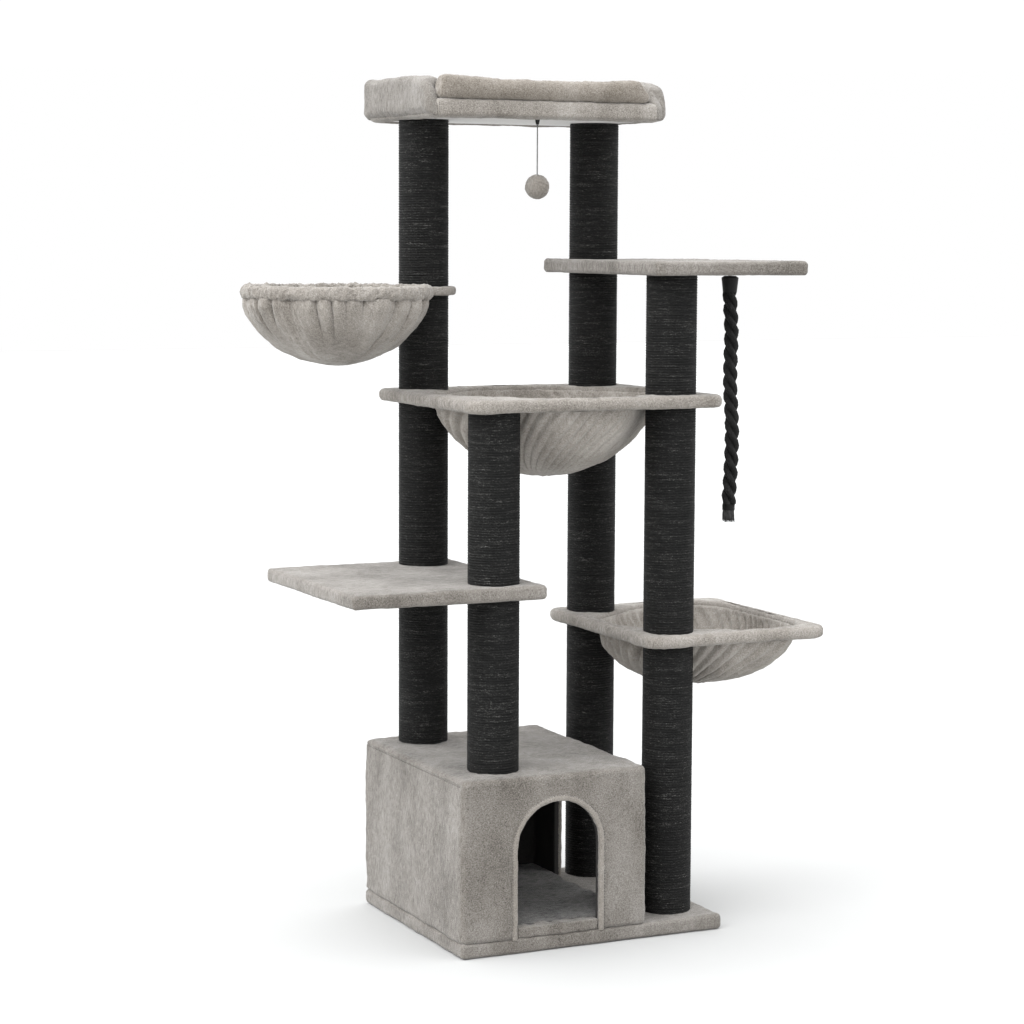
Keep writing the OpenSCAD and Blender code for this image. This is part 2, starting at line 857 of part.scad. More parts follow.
toy_anchor();
toy_knot();
toy_string();
toy_ball();
rope_swivel();
rope_sleeve();
rope();
rope_binding();
rope_frayed_end();
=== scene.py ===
"""Looks of a tall cat tree: plush, sisal posts, slings, a bolstered bed and two hanging toys.

Metres, +Z up, the front towards -Y, origin at the centre of the base's underside.
"""

import math

import bmesh
import bpy
import numpy as np
from mathutils import Matrix, Vector


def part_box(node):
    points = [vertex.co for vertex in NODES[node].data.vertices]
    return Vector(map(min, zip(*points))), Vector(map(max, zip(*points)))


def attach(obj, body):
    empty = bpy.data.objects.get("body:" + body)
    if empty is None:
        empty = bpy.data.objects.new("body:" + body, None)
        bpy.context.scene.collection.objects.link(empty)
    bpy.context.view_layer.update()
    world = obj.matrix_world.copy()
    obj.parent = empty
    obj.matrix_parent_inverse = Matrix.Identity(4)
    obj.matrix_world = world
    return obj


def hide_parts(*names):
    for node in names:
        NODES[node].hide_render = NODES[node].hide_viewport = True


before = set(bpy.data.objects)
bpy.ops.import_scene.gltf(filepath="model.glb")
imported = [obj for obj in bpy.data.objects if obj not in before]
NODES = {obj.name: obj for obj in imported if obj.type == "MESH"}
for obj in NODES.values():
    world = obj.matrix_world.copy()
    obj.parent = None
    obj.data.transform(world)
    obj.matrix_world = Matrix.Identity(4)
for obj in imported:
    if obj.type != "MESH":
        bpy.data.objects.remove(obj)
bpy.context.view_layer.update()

MM = 0.001
TAU = 2 * math.pi
SCENE = bpy.context.scene

# ---------- camera ----------

CAMERA_PLACE = (-2.7502, -5.6157, 1.6331)
CAMERA_TURN = math.radians(-25.434)
CAMERA_TILT = math.radians(5.976)
CAMERA_ROLL = math.radians(0.2545)
CAMERA_LENS = 92.997


def make_camera():
    """Puts the camera in front of the object's left corner, a little above its middle."""
    tilt_cos = math.cos(CAMERA_TILT)
    back = Vector((
        math.sin(CAMERA_TURN) * tilt_cos,
        -math.cos(CAMERA_TURN) * tilt_cos,
        math.sin(CAMERA_TILT),
    ))
    level = (-back).cross(Vector((0, 0, 1))).normalized()
    above = level.cross(-back)
    right = math.cos(CAMERA_ROLL) * level + math.sin(CAMERA_ROLL) * above
    up = math.cos(CAMERA_ROLL) * above - math.sin(CAMERA_ROLL) * level
    data = bpy.data.cameras.new("camera")
    data.lens = CAMERA_LENS
    data.sensor_width = 36
    data.clip_end = 60
    camera = bpy.data.objects.new("camera", data)
    SCENE.collection.objects.link(camera)
    matrix = Matrix((right, up, back)).transposed().to_4x4()
    matrix.translation = CAMERA_PLACE
    camera.matrix_world = matrix
    SCENE.camera = camera


make_camera()

# ---------- material nodes ----------


class Nodes:
    """Builds the node tree of a material or of the surroundings."""

    def __init__(self, owner):
        owner.use_nodes = True
        self.owner = owner
        self.tree = owner.node_tree
        self.place = self.tree.nodes.new("ShaderNodeTexCoord")

    def add(self, kind, links=None, **values):
        """A node of that kind, with attributes from values and inputs from links."""
        node = self.tree.nodes.new(kind)
        for key, value in values.items():
            setattr(node, key, value)
        for key, value in (links or {}).items():
            self.feed(node.inputs[key], value)
        return node

    def feed(self, socket, value):
        if isinstance(value, bpy.types.NodeSocket):
            self.tree.links.new(value, socket)
        else:
            socket.default_value = value

    def scaled(self, scale):
        """Object coordinates in cycles per metre along each axis."""
        links = {"Vector": self.place.outputs["Object"], "Scale": scale}
        return self.add("ShaderNodeMapping", links).outputs["Vector"]

    def noise(self, scale, detail, rough):
        links = {
            "Vector": self.scaled(scale), "Scale": 1.0, "Detail": detail, "Roughness": rough,
        }
        return self.add("ShaderNodeTexNoise", links).outputs["Fac"]

    def cells(self, scale):
        links = {"Vector": self.scaled(scale), "Scale": 1.0}
        return self.add("ShaderNodeTexVoronoi", links).outputs["Distance"]

    def math(self, operation, a, b=0.0):
        return self.add("ShaderNodeMath", {0: a, 1: b}, operation=operation).outputs[0]

    def spread(self, value, low, high):
        """Maps low..high of value onto 0..1."""
        links = {"Value": value, "From Min": low, "From Max": high}
        return self.add("ShaderNodeMapRange", links).outputs[0]

    def weighted(self, *pairs):
        """Sum of weight times value over (weight, value) pairs."""
        total = self.math("MULTIPLY", pairs[0][1], pairs[0][0])
        for weight, value in pairs[1:]:
            total = self.math("ADD", total, self.math("MULTIPLY", value, weight))
        return total

    def facing(self):
        """How much the surface faces along X, Y and Z, from 0 to 1 each."""
        split = self.add("ShaderNodeSeparateXYZ", {0: self.place.outputs["Normal"]})
        return [
            self.math("POWER", self.math("ABSOLUTE", split.outputs[k]), 2.0) for k in range(3)
        ]

    def ramp(self, value, low, high, *stops):
        """Colour ramp over low..high of value, with (position, rgb) stops."""
        node = self.add("ShaderNodeValToRGB", {"Fac": self.spread(value, low, high)})
        elements = node.color_ramp.elements
        while len(elements) < len(stops):
            elements.new(0.5)
        for element, (position, rgb) in zip(elements, stops):
            element.position = position
            element.color = (*rgb, 1)
        return node.outputs["Color"]

    def paint(self, colour, **values):
        """Finishes a material: its colour, and constants on the shader's own sockets."""
        self.shade("Base Color", colour)
        for key, value in values.items():
            self.shade(key.replace("_", " "), value)
        return self.owner

    def shade(self, socket, value):
        self.feed(self.tree.nodes["Principled BSDF"].inputs[socket], value)

    def bump(self, height, strength, depth):
        """Gives a material's surface relief."""
        links = {"Height": height, "Strength": strength, "Distance": depth}
        self.shade("Normal", self.add("ShaderNodeBump", links).outputs["Normal"])


def material_nodes(name):
    return Nodes(bpy.data.materials.new(name))


def tint(level, warmth):
    """A grey of that linear level, warmer as warmth rises."""
    return (level * (1 + warmth), level, level * (1 - 1.15 * warmth))


NAP_SHARE = 0.5
PATCH_SHARE = 0.3
TIP_SHARE = 0.34


def plush_material(name, dark, light, warmth=0.095, wall=1.0, pile=1.0):
    """Short plush: brushed streaks on sides and tops, curly pile on the fronts, fine tips.

    dark and light are linear levels, wall is the strength of the nap and pile the tips' fineness.
    """
    n = material_nodes(name)
    face_x, face_y, face_z = n.facing()
    brushed_side = n.noise((210, 210, 60), 4, 0.7)
    curls = n.noise((330, 330, 310), 3, 0.75)
    brushed_top = n.spread(n.noise((60, 130, 130), 4, 0.7), -0.14, 1.14)
    nap = n.weighted((face_x, brushed_side), (face_y, curls), (face_z, brushed_top))
    patches = n.noise((9, 9, 4.5), 3, 0.6)
    tips = n.noise([600 * pile] * 3, 1, 0.5)
    tone = n.weighted((NAP_SHARE * wall, nap), (PATCH_SHARE, patches), (TIP_SHARE, tips))
    middle = (NAP_SHARE * wall + PATCH_SHARE + TIP_SHARE) / 2
    colour = n.ramp(
        tone, middle - 0.135, middle + 0.145,
        (0.0, tint(dark, warmth * 1.5)),
        (0.5, tint((dark + light) / 2, warmth)),
        (1.0, tint(light, warmth * 0.6)),
    )
    n.bump(n.weighted((0.5, nap), (0.5, tips)), 0.8, 4 * MM)
    return n.paint(
        colour, Roughness=0.95, Specular_IOR_Level=0.12, Sheen_Weight=0.25, Sheen_Roughness=0.45
    )


def sisal_material(name):
    """Black dyed sisal: fine level fibres, with many short pale flecks that are partly pale fibres
    and partly painted highlights.
    """
    n = material_nodes(name)
    fibres = n.noise((90, 90, 900), 4, 0.75)
    pale_flecks_and_glints = n.noise((330, 330, 800), 2, 0.7)
    bands = n.noise((14, 14, 170), 2, 0.6)
    # the pale top of this ramp is partly pale fibre and partly painted highlight
    colour = n.ramp(
        n.weighted((0.35, fibres), (0.45, pale_flecks_and_glints), (0.2, bands)), 0.39, 0.64,
        (0.0, (0.0015, 0.0015, 0.0015)),
        (0.5, (0.005, 0.005, 0.0048)),
        (0.7, (0.016, 0.0158, 0.015)),
        (1.0, (0.14, 0.137, 0.13)),
    )
    n.bump(fibres, 0.8, 2 * MM)
    return n.paint(colour, Roughness=0.75, Specular_IOR_Level=0.2)


def rope_material(name, dark, mid, light, along):
    """Twisted or brushed fibre that runs mostly along Z."""
    n = material_nodes(name)
    yarns = n.noise((620, 620, along), 3, 0.7)
    wear = n.noise((60, 60, 20), 2, 0.5)
    colour = n.ramp(
        n.weighted((0.7, yarns), (0.3, wear)), 0.3, 0.72,
        (0.0, tint(dark, 0.01)), (0.6, tint(mid, 0.01)), (1.0, tint(light, 0.02)),
    )
    n.bump(yarns, 0.7, 1 * MM)
    return n.paint(colour, Roughness=0.85, Specular_IOR_Level=0.25)


def two_tone(name, textures, low, high, dark, light, relief, **shader):
    """Two shades mixed by (share, scale) cells or (share, scale, detail, rough) noises.

    The first texture is also the surface's relief, whose strength and depth are given.
    """
    n = material_nodes(name)
    mixed = [
        (share, n.noise(*spec) if len(spec) > 1 else n.cells(*spec)) for share, *spec in textures
    ]
    colour = n.ramp(n.weighted(*mixed), low, high, (0.0, dark), (1.0, light))
    n.bump(mixed[0][1], *relief)
    return n.paint(colour, **shader)


def board_material(name, dark, light):
    """Pressed wood: mixed chips under a dull surface."""
    chips, grain = (0.6, (120, 120, 160)), (0.5, (40, 40, 260), 3, 0.6)
    return two_tone(
        name, [chips, grain], 0.15, 0.75, dark, light, (0.3, 0.6 * MM), Roughness=0.8
    )


PLUSH = plush_material("plush", 0.05, 0.275)
RIM_PLUSH = plush_material("rim_plush", 0.08, 0.39)
BOLSTER_PLUSH = plush_material("bolster_plush", 0.075, 0.31, 0.13)
# painted light: the square slings' plush is made lighter than the plush elsewhere, as light
# falling on them from the front-left
LIT_SLING_PLUSH = plush_material("sling_plush", 0.135, 0.49, 0.085, wall=0.9)
BOWL_PLUSH = plush_material("bowl_plush", 0.09, 0.39, wall=1.05)
PLATE_PLUSH = plush_material("plate_plush", 0.055, 0.3)
BINDING_PLUSH = plush_material("binding_plush", 0.12, 0.33, wall=0.7)
BALL_PLUSH = plush_material("ball_plush", 0.11, 0.35, wall=0.9, pile=1.3)
# painted shade: the mat's grey plush made near-black, as the shade inside the house
SHADED_MAT_PLUSH = plush_material("shaded_mat_plush", 0.004, 0.19, 0.06, wall=1.6)
SISAL = sisal_material("sisal")
ROPE_FIBRE = rope_material("rope_fibre", 0.006, 0.014, 0.048, 90)
FRAYED = rope_material("frayed_fibre", 0.02, 0.075, 0.22, 140)
STRING = rope_material("string", 0.06, 0.13, 0.25, 260)
THREAD = rope_material("thread", 0.035, 0.06, 0.1, 300)
LINING = two_tone(
    "lining", [(0.5, (260, 260, 260)), (0.5, (300, 300, 300), 3, 0.6)], 0.1, 0.8,
    (0.52, 0.51, 0.5), (0.72, 0.715, 0.7), (0.4, 0.8 * MM), Roughness=0.9,
)
# painted shade: a near-black stand-in for the grey plush inside the house, used for its walls and
# the doors' reveals
SHADE_LINING = two_tone(
    "house_shade_lining", [(0.6, (420, 420, 420), 3, 0.6), (0.4, (14, 14, 5), 2, 0.5)], 0.25, 0.75,
    (0.012, 0.011, 0.0105), (0.045, 0.042, 0.04), (0.5, 1.2 * MM), Roughness=0.95,
)
WOOD = board_material("pressed_wood", (0.28, 0.19, 0.11), (0.55, 0.42, 0.28))
CARDBOARD = board_material("cardboard", (0.25, 0.17, 0.1), (0.42, 0.31, 0.2))
STEEL = two_tone(
    "steel", [(1.0, (900, 900, 60), 2, 0.5)], 0.3, 0.7,
    (0.36, 0.36, 0.37), (0.55, 0.55, 0.56), (0.1, 0.2 * MM), Roughness=0.35, Metallic=1.0,
)
BLACK_PLASTIC = two_tone(
    "black_plastic", [(1.0, (900, 900, 900), 2, 0.5)], 0.3, 0.7,
    tint(0.0056, 0), tint(0.00875, 0), (0.15, 0.3 * MM), Roughness=0.6, Specular_IOR_Level=0.25,
)

# ---------- mesh helpers ----------


def link(name, mesh, material):
    """A smooth object of that mesh and material."""
    mesh.shade_smooth()
    mesh.materials.append(material)
    obj = bpy.data.objects.new(name, mesh)
    SCENE.collection.objects.link(obj)
    return obj


def new_object(name, verts, faces, material):
    """A smooth mesh object whose faces point outwards."""
    mesh = bpy.data.meshes.new(name)
    mesh.from_pydata(np.asarray(verts, float).tolist(), [], faces)
    mesh.update()
    bm = bmesh.new()
    bm.from_mesh(mesh)
    bmesh.ops.recalc_face_normals(bm, faces=bm.faces)
    bm.to_mesh(mesh)
    bm.free()
    return link(name, mesh, material)


def quads(rows, cols, wrap_rows, wrap_cols):
    """Faces of a grid of rows by cols vertices, wrapped round where asked."""
    faces = []
    for i in range(rows if wrap_rows else rows - 1):
        for j in range(cols if wrap_cols else cols - 1):
            a, b = i * cols + j, i * cols + (j + 1) % cols
            c, d = ((i + 1) % rows) * cols + (j + 1) % cols, ((i + 1) % rows) * cols + j
            faces.append((a, b, c, d))
    return faces


def tube_faces(start, cuts, sides):
    """Faces of a capped tube, whose vertices begin at start as cuts rings of sides points."""
    last = start + (cuts - 1) * sides
    faces = [tuple(start + k for k in face) for face in quads(cuts, sides, False, True)]
    return [*faces, tuple(range(start, start + sides)), tuple(range(last, last + sides))]


def loft(name, rings, material, closed_path=False):
    """Skin through rings of points (ring, point, xyz); an open path gets flat ends."""
    rings = np.asarray(rings, float)
    count, sides = rings.shape[:2]
    verts = rings.reshape(-1, 3)
    faces = quads(count, sides, closed_path, True)
    if not closed_path:
        verts = np.vstack([verts, rings[0].mean(0), rings[-1].mean(0)])
        first, last = count * sides, count * sides + 1
        base = (count - 1) * sides
        for k in range(sides):
            faces.append((first, (k + 1) % sides, k))
            faces.append((last, base + k, base + (k + 1) % sides))
    return new_object(name, verts, faces, material)


def turns(sides):
    """Evenly spaced angles round a full circle."""
    return np.arange(sides) * TAU / sides


def circle(x, y, radius, turn, z):
    """Points in the directions of turn round (x, y); radius and z may differ in each."""
    return np.stack([x + radius * np.cos(turn), y + radius * np.sin(turn), z + 0 * turn], 1)


def distances(path):
    """Distance along a path at each of its points."""
    steps = np.linalg.norm(np.diff(path, axis=0), axis=1)
    return np.concatenate([[0], np.cumsum(steps)])


def point_at(place, along, values):
    """What values are at that distance along a path."""
    return np.array([np.interp(place, along, values[:, k]) for k in range(3)])


def coords(obj):
    co = np.empty(len(obj.data.vertices) * 3, np.float32)
    obj.data.vertices.foreach_get("co", co)
    return co.reshape(-1, 3).astype(float)


def set_coords(obj, co):
    obj.data.vertices.foreach_set("co", co.astype(np.float32).ravel())
    obj.data.update()


def normals(obj):
    out = np.empty(len(obj.data.vertices) * 3, np.float32)
    obj.data.vertex_normals.foreach_get("vector", out)
    return out.reshape(-1, 3).astype(float)


def waves(points, length, seed, count=22):
    """Smooth noise of about unit size whose bumps are about length apart."""
    rng = np.random.default_rng(seed)
    axes = rng.normal(size=(count, 3))
    axes /= np.linalg.norm(axes, axis=1)[:, None]
    axes *= (TAU / length * rng.uniform(0.6, 1.5, count))[:, None]
    phases = rng.uniform(0, TAU, count)
    return np.sin(points @ axes.T + phases).sum(1) / math.sqrt(count / 2)


def ruffle(obj, seed, *layers):
    """Moves vertices along their normals by layers of noise: (amount, bump length) in mm."""
    co, out = coords(obj), normals(obj)
    shift = sum(
        amount * MM * waves(co, length * MM, seed + k)
        for k, (amount, length) in enumerate(layers)
    )
    set_coords(obj, co + out * shift[:, None])
    return obj


def apply_modifiers(obj):
    depsgraph = bpy.context.evaluated_depsgraph_get()
    mesh = bpy.data.meshes.new_from_object(obj.evaluated_get(depsgraph))
    old, name = obj.data, obj.data.name
    obj.modifiers.clear()
    obj.data = mesh
    bpy.data.meshes.remove(old)
    mesh.name = name
    mesh.shade_smooth()
    return obj


def modified(obj, kind, **values):
    """Applies one modifier of that kind, with those settings."""
    step = obj.modifiers.new(kind.lower(), kind)
    for key, value in values.items():
        setattr(step, key, value)
    return apply_modifiers(obj)


def smoothstep(value, low, high):
    t = np.clip((value - low) / (high - low), 0, 1)
    return t * t * (3 - 2 * t)


def edge_steps(low, high, radius, step, extra=()):
    """Grid lines from low to high, close together where an edge of that radius is rounded."""
    turn = radius * (1 - np.tan(np.linspace(math.pi / 4, 0, 5)))
    count = max(2, round((high - low - 2 * radius) / step))
    inner = np.linspace(low + radius, high - radius, count + 1)
    return np.unique(np.round([*(low + turn), *inner, *(high - turn), *extra], 6))


def rounded_box(name, low, high, radius, step, material, open_bottom=False, extra_z=()):
    """Box with edges rounded to radius mm and a grid of step mm; open_bottom has no underside."""
    low, high, radius, step = np.array(low), np.array(high), radius * MM, step * MM
    grid = [edge_steps(low[k], high[k], radius, step, extra_z if k == 2 else ()) for k in range(3)]
    verts, faces, start = [], [], 0
    for axis in range(3):
        u, v = [k for k in range(3) if k != axis]
        for side in (low, high):
            if open_bottom and axis == 2 and side is low:
                continue
            a, b = np.meshgrid(grid[u], grid[v], indexing="ij")
            face = np.empty((*a.shape, 3))
            face[..., axis], face[..., u], face[..., v] = side[axis], a, b
            verts.append(face.reshape(-1, 3))
            faces += [tuple(start + k for k in q) for q in quads(*a.shape, False, False)]
            start += a.size
    verts = np.vstack(verts)
    _, first, where = np.unique(
        np.round(verts, 6), axis=0, return_index=True, return_inverse=True
    )
    verts, where = verts[first], where.reshape(-1)
    faces = [tuple(int(where[k]) for k in f) for f in faces]
    core_low, core_high = low + radius, high - radius
    if open_bottom:
        core_low[2] = low[2]
    core = np.clip(verts, core_low, core_high)
    out = verts - core
    reach = np.linalg.norm(out, axis=1)
    reach[reach == 0] = 1
    return new_object(name, core + radius * out / reach[:, None], faces, material)


def frame_piece(obj, *nodes, body="tree", slot="plush"):
    """Ties a finished piece to its body and hides the nodes it stands for; slot is not used."""
    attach(obj, body)
    if nodes:
        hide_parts(*nodes)
    return obj


def padded_piece(obj, fill, *nodes, **place):
    """Does the same for a stuffed piece; fill is not used."""
    frame_piece(obj, *nodes, **place)
    return obj


def finish_nodes(material, *names):
    """Gives CAD nodes that stay in view their finish."""
    for name in names:
        materials = NODES[name].data.materials
        materials.clear()
        materials.append(material)


def plan_middle(node):
    """Middle of a node's box on the plan."""
    low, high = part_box(node)
    return (low.x + high.x) / 2, (low.y + high.y) / 2


THREAD_SIZE = 0.6 * MM
STITCH_SIDES = 6
STITCH_CUTS = (-1, -0.7, 0, 0.7, 1)


def stitches(name, points, outs, length, gap):
    """A row of thread stitches along points, on the surface that faces outs; sizes in mm."""
    points, outs = np.asarray(points, float), np.asarray(outs, float)
    length, gap = length * MM, gap * MM
    along = distances(points)
    verts, faces = [], []
    for centre in np.arange(gap / 2, along[-1], gap):
        start, end = (point_at(centre + s * length / 2, along, points) for s in (-1, 1))
        out = point_at(centre, along, outs)
        ahead = end - start
        side = np.cross(ahead, out)
        side /= np.linalg.norm(side)
        faces += tube_faces(len(verts), len(STITCH_CUTS), STITCH_SIDES)
        for cut in STITCH_CUTS:
            middle = start + ahead * (cut + 1) / 2
            lift = THREAD_SIZE * (0.9 - 1.1 * abs(cut) ** 3)
            size = THREAD_SIZE * (1 - 0.75 * abs(cut) ** 3)
            for turn in turns(STITCH_SIDES):
                rise = lift + size * math.sin(turn)
                verts.append(middle + out * rise + side * size * math.cos(turn))
    return frame_piece(new_object(name, verts, faces, THREAD), slot="string")


# ---------- cords: the hanging rope and the ball's string ----------

STRANDS = 3
ROPE_D = 36 * MM
ROPE_ROUTE = np.array([
    (514, 14, 1496), (516, 14, 1459), (519, 14, 1422), (520, 14, 1385), (519, 14, 1348),
    (518, 14, 1311), (518, 14, 1274), (520, 14, 1237), (523, 14, 1200), (525, 14, 1163),
    (525, 14, 1126), (524, 14, 1089), (522, 14, 1052), (520, 14, 1014), (518, 14, 976),
]) * MM
ROPE_LAY = 105 * MM
STRING_D = 3 * MM
STRING_ROUTE = np.array([(11, 60, z) for z in range(1887, 1766, -8)]) * MM
STRING_LAY = 9 * MM
BINDING_R = 16 * MM
BINDING_PITCH = 2 * MM
BALL_R = 28.6 * MM
BALL_SEAM = np.array([0.35, 0.25, 0.9])


def route_length(route):
    return float(np.linalg.norm(np.diff(route, axis=0), axis=1).sum())


def rope_outline(angle, outer):
    """Radius of a laid rope's outline at that angle from a strand's middle."""
    half = math.pi / STRANDS
    strand = outer / (1 + 1 / math.sin(half))
    offset = outer - strand
    off = (angle + half) % (2 * half) - half
    inside = np.maximum(strand**2 - (offset * np.sin(off)) ** 2, 0)
    return offset * np.cos(off) + np.sqrt(inside)


def laid_rope(name, route, outer, lay, step, sides, material, wear):
    """A laid rope down a nearly upright route, its strands turning once in each lay."""
    total, along = route_length(route), distances(route)
    turn = turns(sides)
    rings = []
    for place in np.linspace(0, total, max(3, round(total / step))):
        x, y, z = point_at(place, along, route)
        rings.append(circle(x, y, rope_outline(turn - TAU * place / lay, outer), turn, z))
    rope = loft(name, rings, material)
    return ruffle(rope, 5, (wear, 9), (wear * 0.6, 2.5))


def wound_band(name, centre, low, high, material):
    """Thread wound tightly round the rope's end."""
    turn = turns(40)
    rings = []
    for z in np.arange(low, high, BINDING_PITCH / 6):
        swell = np.abs(np.sin(math.pi * (z - low) / BINDING_PITCH + turn / 2))
        rings.append(circle(*centre, BINDING_R - 1.3 * MM + 1.1 * MM * swell, turn, z))
    return loft(name, rings, material)


FIBRES = 210
FIBRE_SIDES = 5
FIBRE_CUTS = 7
GOLDEN_ANGLE = 2.399963


def frayed_bundle(name, centre, top, bottom, material):
    """Loose fibres that hang below the binding and spread a little."""
    rng = np.random.default_rng(3)
    verts, faces = [], []
    for k in range(FIBRES):
        spot = math.sqrt((k + 0.5) / FIBRES)
        angle = k * GOLDEN_ANGLE
        reach_top, reach_low = 13.2 * MM * spot, 15.9 * MM * spot
        length = (top - bottom) * rng.uniform(0.72, 1.0)
        curl, curl_at = rng.uniform(0.2, 0.9) * MM, rng.uniform(0, TAU)
        size = rng.uniform(0.75, 1.15) * MM
        faces += tube_faces(len(verts), FIBRE_CUTS, FIBRE_SIDES)
        for u in np.linspace(0, 1, FIBRE_CUTS):
            reach = reach_top + (reach_low - reach_top) * u**1.5
            x = centre[0] + reach * math.cos(angle) + curl * math.sin(5 * u + curl_at)
            y = centre[1] + reach * math.sin(angle) + curl * math.cos(4 * u + curl_at)
            thin = size * (1 - 0.75 * u**3)
            verts.extend(circle(x, y, thin, turns(FIBRE_SIDES), top - length * u))
    return new_object(name, verts, faces, material)


def make_ball():
    """Plush ball: tufted all over, with one seam round it."""
    low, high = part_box("toy_ball")
    centre = (np.array(low) + np.array(high)) / 2
    mesh = bpy.data.meshes.new("plush_ball")
    bm = bmesh.new()
    bmesh.ops.create_icosphere(bm, subdivisions=6, radius=1)
    bm.to_mesh(mesh)
    bm.free()
    ball = link("plush_ball", mesh, BALL_PLUSH)
    unit = coords(ball)
    tilted = unit @ BALL_SEAM / np.linalg.norm(BALL_SEAM)
    seam = np.exp(-((tilted / 0.06) ** 2))
    tufts = waves(unit, 0.28, 11) * 0.5 + waves(unit, 0.11, 12) * 0.5
    radius = BALL_R + 0.55 * MM * tufts - 1.5 * MM * seam
    set_coords(ball, centre + unit * radius[:, None])
    return ball


def make_rope():
    """The hanging rope with its bound and frayed end."""
    rope = laid_rope(
        "climbing_rope", ROPE_ROUTE, ROPE_D / 2, ROPE_LAY, 2.5 * MM, 72, ROPE_FIBRE, 0.3
    )
    frame_piece(rope, "rope", body="rope", slot="rope_fibre")
    low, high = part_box("rope_binding")
    tip = plan_middle("rope_binding")
    binding = wound_band("rope_whipping", tip, low.z, high.z, ROPE_FIBRE)
    frame_piece(binding, "rope_binding", body="rope", slot="rope_fibre")
    low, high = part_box("rope_frayed_end")
    tuft = frayed_bundle("rope_tuft", tip, high.z + 2 * MM, low.z, FRAYED)
    frame_piece(tuft, "rope_frayed_end", body="rope", slot="frayed_fibre")


def make_toy():
    """The plush ball on its string."""
    ball = padded_piece(make_ball(), 0.9, "toy_ball", body="toy", slot="ball_plush")
    string = laid_rope(
        "ball_string", STRING_ROUTE, STRING_D / 2, STRING_LAY, 0.8 * MM, 18, STRING, 0.03
    )
    frame_piece(string, "toy_string", body="toy", slot="string")


make_rope()
make_toy()

# ---------- posts ----------

POST_LENGTHS = {"front_left": 2, "back_left": 4, "back_right": 4, "front_right": 3}
WINDING_PITCH = 6 * MM
WINDING_DEPTH = 2.6 * MM
WINDING_SIDES = 84
WINDING_TURNS = 400


def winding(node, seed):
    """Sisal cord wound up a post length: one rib for each turn, climbing as a helix."""
    low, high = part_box(node)
    x, y = plan_middle(node)
    outer = (high.x - low.x) / 2
    rng = np.random.default_rng(seed)
    turn = turns(WINDING_SIDES)
    phase = rng.uniform(0, TAU)
    fat = rng.uniform(-1, 1, WINDING_TURNS)
    rings = []
    for z in np.linspace(low.z, high.z, round((high.z - low.z) / WINDING_PITCH * 6) + 1):
        climb = (z - low.z) / WINDING_PITCH - (turn + phase) / TAU
        rib = 2 * (climb % 1) - 1
        swell = np.sqrt(np.maximum(1 - rib**2, 0))
        nth = np.floor(climb).astype(int) % WINDING_TURNS
        size = outer - WINDING_DEPTH * (1 - swell) - 0.3 * MM * (1 + fat[nth]) / 2
        rings.append(circle(x, y, size, turn, z))
    for z in (high.z, low.z):
        rings.append(circle(x, y, outer - 6 * MM, turn, z))
    return loft(node + "_winding", rings, SISAL, closed_path=True)


for post, lengths in POST_LENGTHS.items():
    for k in range(1, lengths + 1):
        node = f"{post}_sisal_{k}"
        frame_piece(winding(node, len(node) * 7 + k), node, slot="sisal")

# ---------- base, platforms and house ----------

FIBRE_LAYERS = ((0.4, 130), (0.22, 30), (0.2, 9))


def covered_plate(board, radius, seed, step, material):
    """A board wrapped in plush, with soft rounded edges and a flat underside; sizes in mm."""
    low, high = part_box(board + "_cover")
    piece = rounded_box(board + "_plush", low, high, radius, step, material)
    ruffle(piece, seed, *FIBRE_LAYERS)
    co = coords(piece)
    co[:, 2] = np.maximum(co[:, 2], low.z)
    set_coords(piece, co)
    frame_piece(piece, board + "_cover", board + "_board")


covered_plate("base", 9, 21, 9, PLUSH)
covered_plate("left_platform", 10, 22, 7, PLATE_PLUSH)
covered_plate("right_platform", 10, 23, 7, PLATE_PLUSH)

DOOR_FOOT = 31 * MM
BINDING_W = 14 * MM
BINDING_PROFILE = np.array([
    (0.0, -7), (0.0, -4), (0.2, 1.2), (2.2, 3.3), (5.5, 4.1), (9, 4.0), (12, 3.0), (13.8, 1.2),
    (14, -0.6), (3, -0.6), (3, -7),
]) * MM
SEAM_DROP = 12 * MM
WALL_T = 18 * MM
HOUSE_SKIN = 3 * MM


def arch_path(half, crown, bottom, count=40):
    """Points and outward directions of a door's edge, as (across, up) pairs, from leg to leg."""
    spring = crown - half
    leg = np.linspace(bottom, spring, 24)[:-1]
    bend = np.linspace(math.pi, 0, count)
    points = [(-half, z) for z in leg]
    points += [(half * math.cos(a), spring + half * math.sin(a)) for a in bend]
    points += [(half, z) for z in leg[::-1]]
    outs = [(-1, 0)] * len(leg) + [(math.cos(a), math.sin(a)) for a in bend] + [(1, 0)] * len(leg)
    return np.array(points), np.array(outs)


class Door:
    """An arched opening in the house, from its binding's box; axis is the wall's normal."""

    def __init__(self, node, axis):
        low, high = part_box(node)
        across = 1 - axis
        self.node, self.axis = node, axis
        self.middle = plan_middle(node)[across]
        self.half = (high[across] - low[across]) / 2 - BINDING_W
        self.crown = high.z - BINDING_W
        self.out = -1 if axis == 1 else 1
        self.face, self.back = (low.y, high.y) if axis == 1 else (high.x, low.x)

    def place(self, across, up, deep):
        """Points from distances across and up the wall, and places along its normal."""
        across, up, deep = np.broadcast_arrays(across, up, deep)
        if self.axis == 1:
            return np.stack([self.middle + across, deep, up], -1)
        return np.stack([deep, self.middle + across, up], -1)

    def swept(self, name, profile, count, material):
        """A profile of (away from the edge, along the normal) points, swept round the door."""
        points, outs = arch_path(self.half, self.crown, DOOR_FOOT, count)
        rings = [
            [self.place(across + out_a * u, up + out_z * u, v) for u, v in profile]
            for (across, up), (out_a, out_z) in zip(points, outs)
        ]
        return loft(name, rings, material)


